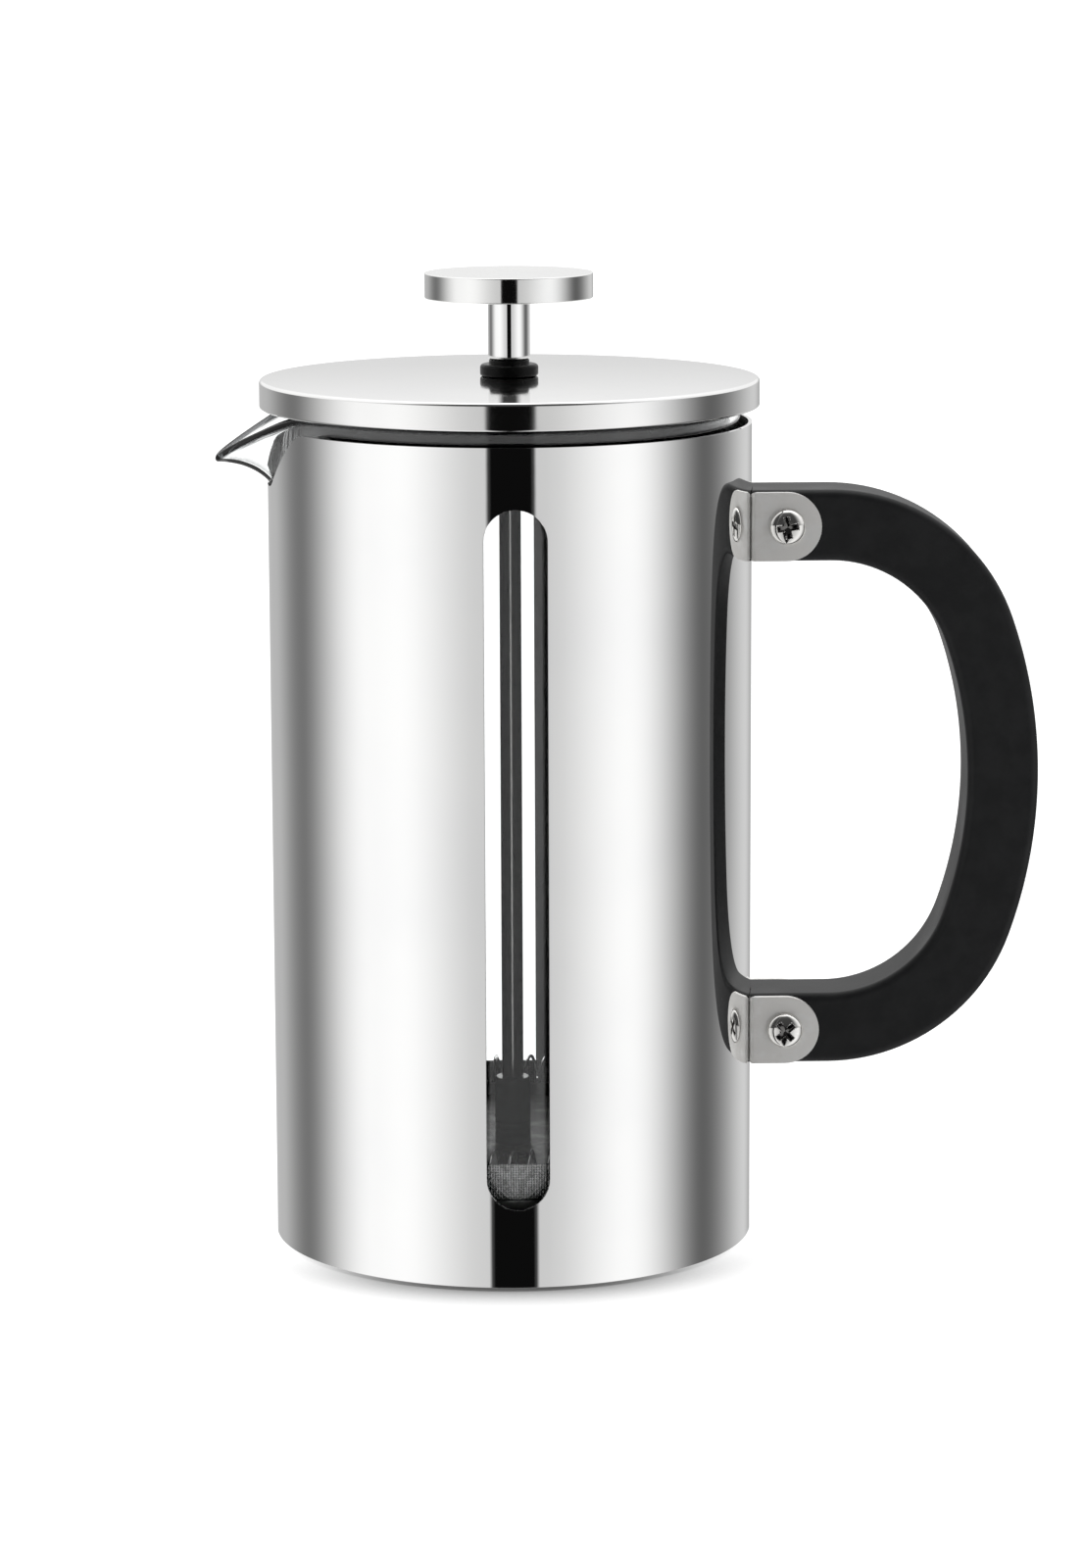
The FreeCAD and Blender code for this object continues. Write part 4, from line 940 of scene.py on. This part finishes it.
def makeSpring():
    # a wire carried along a helix that is bent into a ring
    height = (high("filter_spring", "z") + low("filter_spring", "z")) / 2
    coil = (high("filter_spring", "z") - low("filter_spring", "z")) / 2 - spring["wire"]
    ring = high("filter_spring", "x") - coil - spring["wire"]
    count = spring["turns"] * spring["steps"]
    turn = np.linspace(0, tau, count, endpoint=False)
    wind = turn * spring["turns"]
    out = ring + coil * np.cos(wind)
    centre = np.stack([out * np.cos(turn), out * np.sin(turn), height + coil * np.sin(wind)], axis=-1)
    ahead = np.roll(centre, -1, axis=0) - np.roll(centre, 1, axis=0)
    ahead /= np.linalg.norm(ahead, axis=1, keepdims=True)
    middle = np.stack([ring * np.cos(turn), ring * np.sin(turn), height + 0 * turn], axis=-1)
    away = centre - middle
    away -= (away * ahead).sum(1, keepdims=True) * ahead
    away /= np.linalg.norm(away, axis=1, keepdims=True)
    side = np.cross(ahead, away)
    sweep = np.linspace(0, tau, spring["sides"], endpoint=False)[:, None, None]
    grid = centre + spring["wire"] * (np.cos(sweep) * away + np.sin(sweep) * side)
    grid = np.concatenate([grid, grid[:1]])
    piece("filterSpring", turned(grid[::-1]), springWire, "filter_spring", smoothUnder=80)


screen = {"thick": 0.3, "hole": 1.65, "bend": 0.8, "innerBend": 0.5, "hem": 0.12}


def makeScreen():
    # woven disc turned up into a skirt with a rolled hem
    outer, foot, top = high("mesh_screen", "x"), low("mesh_screen", "z"), high("mesh_screen", "z")
    thick, hole, hem = screen["thick"], screen["hole"], screen["hem"]
    profile = refine(outline([
        (hole, foot), (outer, foot, screen["bend"]), (outer, top, hem), (outer - thick, top, hem),
        (outer - thick, foot + thick, screen["innerBend"]), (hole, foot + thick)], 6, 0.05), 3.0)
    piece("meshScreen", lathe(profile, 240), meshSteel, "mesh_screen")


hub = {
    "grooves": 3, "grooveDepth": 0.25, "grooveHalf": 0.3, "grooveFloorHalf": 0.12, "firstGroove": 2.4,
    "groovePitch": 1.3, "bore": 2.05, "boreDepth": 3.9, "footRound": 0.3, "topRound": 0.45}


def makeHub():
    # turned hub with grip grooves and a blind bore for the rod's thread
    outer, foot, top = high("filter_hub", "x"), low("filter_hub", "z"), high("filter_hub", "z")
    wide, narrow, groove = hub["grooveHalf"], hub["grooveFloorHalf"], hub["grooveDepth"]
    bore, deep = hub["bore"], top - hub["boreDepth"]
    heights = foot + hub["firstGroove"] + np.arange(hub["grooves"]) * hub["groovePitch"]
    steps = ((0, -wide), (groove, -narrow), (groove, narrow), (0, wide))
    cuts = [(outer - d, z + s, 0.0) for z in heights for d, s in steps]
    profile = outline([(0.0, foot), (outer, foot, hub["footRound"])] + cuts
                      + [(outer, top, hub["topRound"]), (bore, top), (bore, deep), (0.0, deep)], 5, 0.05)
    piece("filterHub", lathe(profile, 72), shadedRodSteel, "filter_hub")


carried = {
    "base_plate": plainSteel, "beaker_cushion": silicone, "spring_plate": punchedSteel,
    "cross_plate": plateSteel, "filter_screw": screwSteel, "upper_handle_insert": brass,
    "lower_handle_insert": brass}


def finishCarried():
    # the CAD shapes that stay get their finish in their own material slots
    rivets = {n: screwSteel for n in frame["nodes"] if n.endswith("_rivet")}
    for node, finish in {**carried, **rivets}.items():
        holder = frame["nodes"][node]
        holder.data.materials.clear()
        holder.data.materials.append(finish)


for make in (makeSleeve, makeFoot, makeBeaker, makeHandle, makeFastenings, makeLid, makeInsert, makeBush,
             makeRod, makeFerrule, makeKnob, makeSpring, makeScreen, makeHub, finishCarried):
    make()
    print("done:", make.__name__)


# the studio: a sky of brightness by direction, and a pale board
studio = {
    "floorSize": 60.0,
    # brightness round the object below eye level, by direction in degrees from the front towards +X
    "round": [(-180, 1.2), (-175, 1.2), (-168, 0.52), (-152, 0.5), (-119, 0.19), (-72, 1.07), (-56, 1.1),
              (-12.3, 0.67), (-11.0, 0.004), (9.6, 0.004), (10.8, 0.65), (56, 1.08), (103, 0.13),
              (150, 0.66), (168, 0.42), (175, 1.2), (180, 1.2)],
    # brightness above eye level by height in degrees: behind the press, and on the maker's side
    "backSky": [(0, 0.64), (4, 0.72), (9, 1.0), (35, 1.1), (58, 1.5), (70, 2.2), (90, 2.2)],
    "frontSky": [(0, 0.05), (30, 0.06), (60, 0.1), (76, 0.9), (84, 2.2), (90, 2.2)],
    "backdrop": 1.05, "floorGrey": 0.38, "floorGlow": 0.9,
    "contact": 0.022, "shadowFrom": 0.014, "shadowTo": 0.05}


def lightStudio():
    world = bpy.data.worlds.new("studio")
    bpy.context.scene.world = world
    tree = Tree(world)
    x, y, z = tree.split(tree.node("ShaderNodeTexCoord"))
    height = z.maths("ARCSINE") * (180 / math.pi)
    turn = x.maths("ARCTAN2", y * -1.0) * (180 / math.pi)

    def ramp(stops, along, span, top):
        scaled = [(place / span, value / top) for place, value in stops]
        return tree.node("ShaderNodeValToRGB", {"stops": scaled}, [along / span]) * top

    around = ramp([(place + 180, value) for place, value in studio["round"]], turn + 180, 360, 2.0)
    behind = abs(turn).smooth(28.0, 75.0)
    backSky, frontSky = (ramp(studio[key], height, 90, 5.0) for key in ("backSky", "frontSky"))
    sky = backSky * behind + frontSky * (1.0 - behind)
    above = height.smooth(0.5, 2.5)
    light = around * (1.0 - above) + sky * above
    # the backdrop itself is plain white
    seen = tree.node("ShaderNodeLightPath")
    shown = light * (1.0 - seen) + seen * studio["backdrop"]
    grey = tree.node("ShaderNodeCombineColor", {}, [shown, shown, shown])
    back = tree.node("ShaderNodeBackground", {}, [grey])
    tree.node("ShaderNodeOutputWorld", {}, {"Surface": back})


def layFloor():
    # pale board: it glows a little, so it stays white, and has a painted shadow where the press stands close
    mesh = bpy.data.meshes.new("floor")
    half = studio["floorSize"] / 2
    corners = [(-half, -half, 0), (half, -half, 0), (half, half, 0), (-half, half, 0)]
    mesh.from_pydata(corners, [], [(0, 1, 2, 3)])
    made, tree = newMaterial("paleFloor")
    grain = tree.noise(tree.place(), 400.0, 3.0)
    closeness = tree.node(
        "ShaderNodeAmbientOcclusion", {"samples": 16}, {"Distance": studio["contact"]}, out="AO")
    x, y, z = tree.split(tree.place())
    # the painted shadow lies only in front, as if the light came from behind
    ahead = (y * -1.0).smooth(studio["shadowFrom"], studio["shadowTo"])
    outsidePaintedShadow = 1.0 - (1.0 - closeness.smooth(0.4, 0.98)) * ahead
    plain, speck = (colour(grey, grey, grey) for grey in (studio["floorGrey"], studio["floorGrey"] + 0.01))
    glowWithPaintedShadow = tree.blend(outsidePaintedShadow, colour(0.02, 0.02, 0.02), colour(1, 1, 1))
    tree.surface({
        "Base Color": tree.blend(grain, plain, speck),
        "Roughness": 0.9, "Specular IOR Level": 0.0, "Emission Color": glowWithPaintedShadow,
        "Emission Strength": studio["floorGlow"]})
    mesh.materials.append(made)
    floor = bpy.data.objects.new("floor", mesh)
    floor.visible_glossy = False
    bpy.context.scene.collection.objects.link(floor)


camera = {
    "distance": 1.0242, "height": 0.2818, "round": -1.2, "turn": -1.547, "down": 10.32, "roll": -0.228,
    "lens": 114.46}


def placeCamera():
    data = bpy.data.cameras.new("camera")
    data.lens = camera["lens"]
    data.sensor_width = 36.0
    data.clip_start, data.clip_end = 0.05, 200.0
    made = bpy.data.objects.new("camera", data)
    stand = math.radians(camera["round"])
    turn, down, roll = (math.radians(camera[key]) for key in ("turn", "down", "roll"))
    away = camera["distance"]
    made.location = (away * math.sin(stand), -away * math.cos(stand), camera["height"])
    ahead = np.array([-math.sin(turn) * math.cos(down), math.cos(turn) * math.cos(down), -math.sin(down)])
    right = np.cross(ahead, [0, 0, 1])
    right /= np.linalg.norm(right)
    up = np.cross(right, ahead)
    across = math.cos(roll) * right + math.sin(roll) * up
    upright = math.cos(roll) * up - math.sin(roll) * right
    made.rotation_mode = "QUATERNION"
    made.rotation_quaternion = Matrix(np.stack([across, upright, -ahead], axis=-1).tolist()).to_quaternion()
    bpy.context.scene.collection.objects.link(made)
    bpy.context.scene.camera = made


lightStudio()
layFloor()
placeCamera()
bpy.context.scene.view_settings.view_transform = "Standard"
print("studio ready")
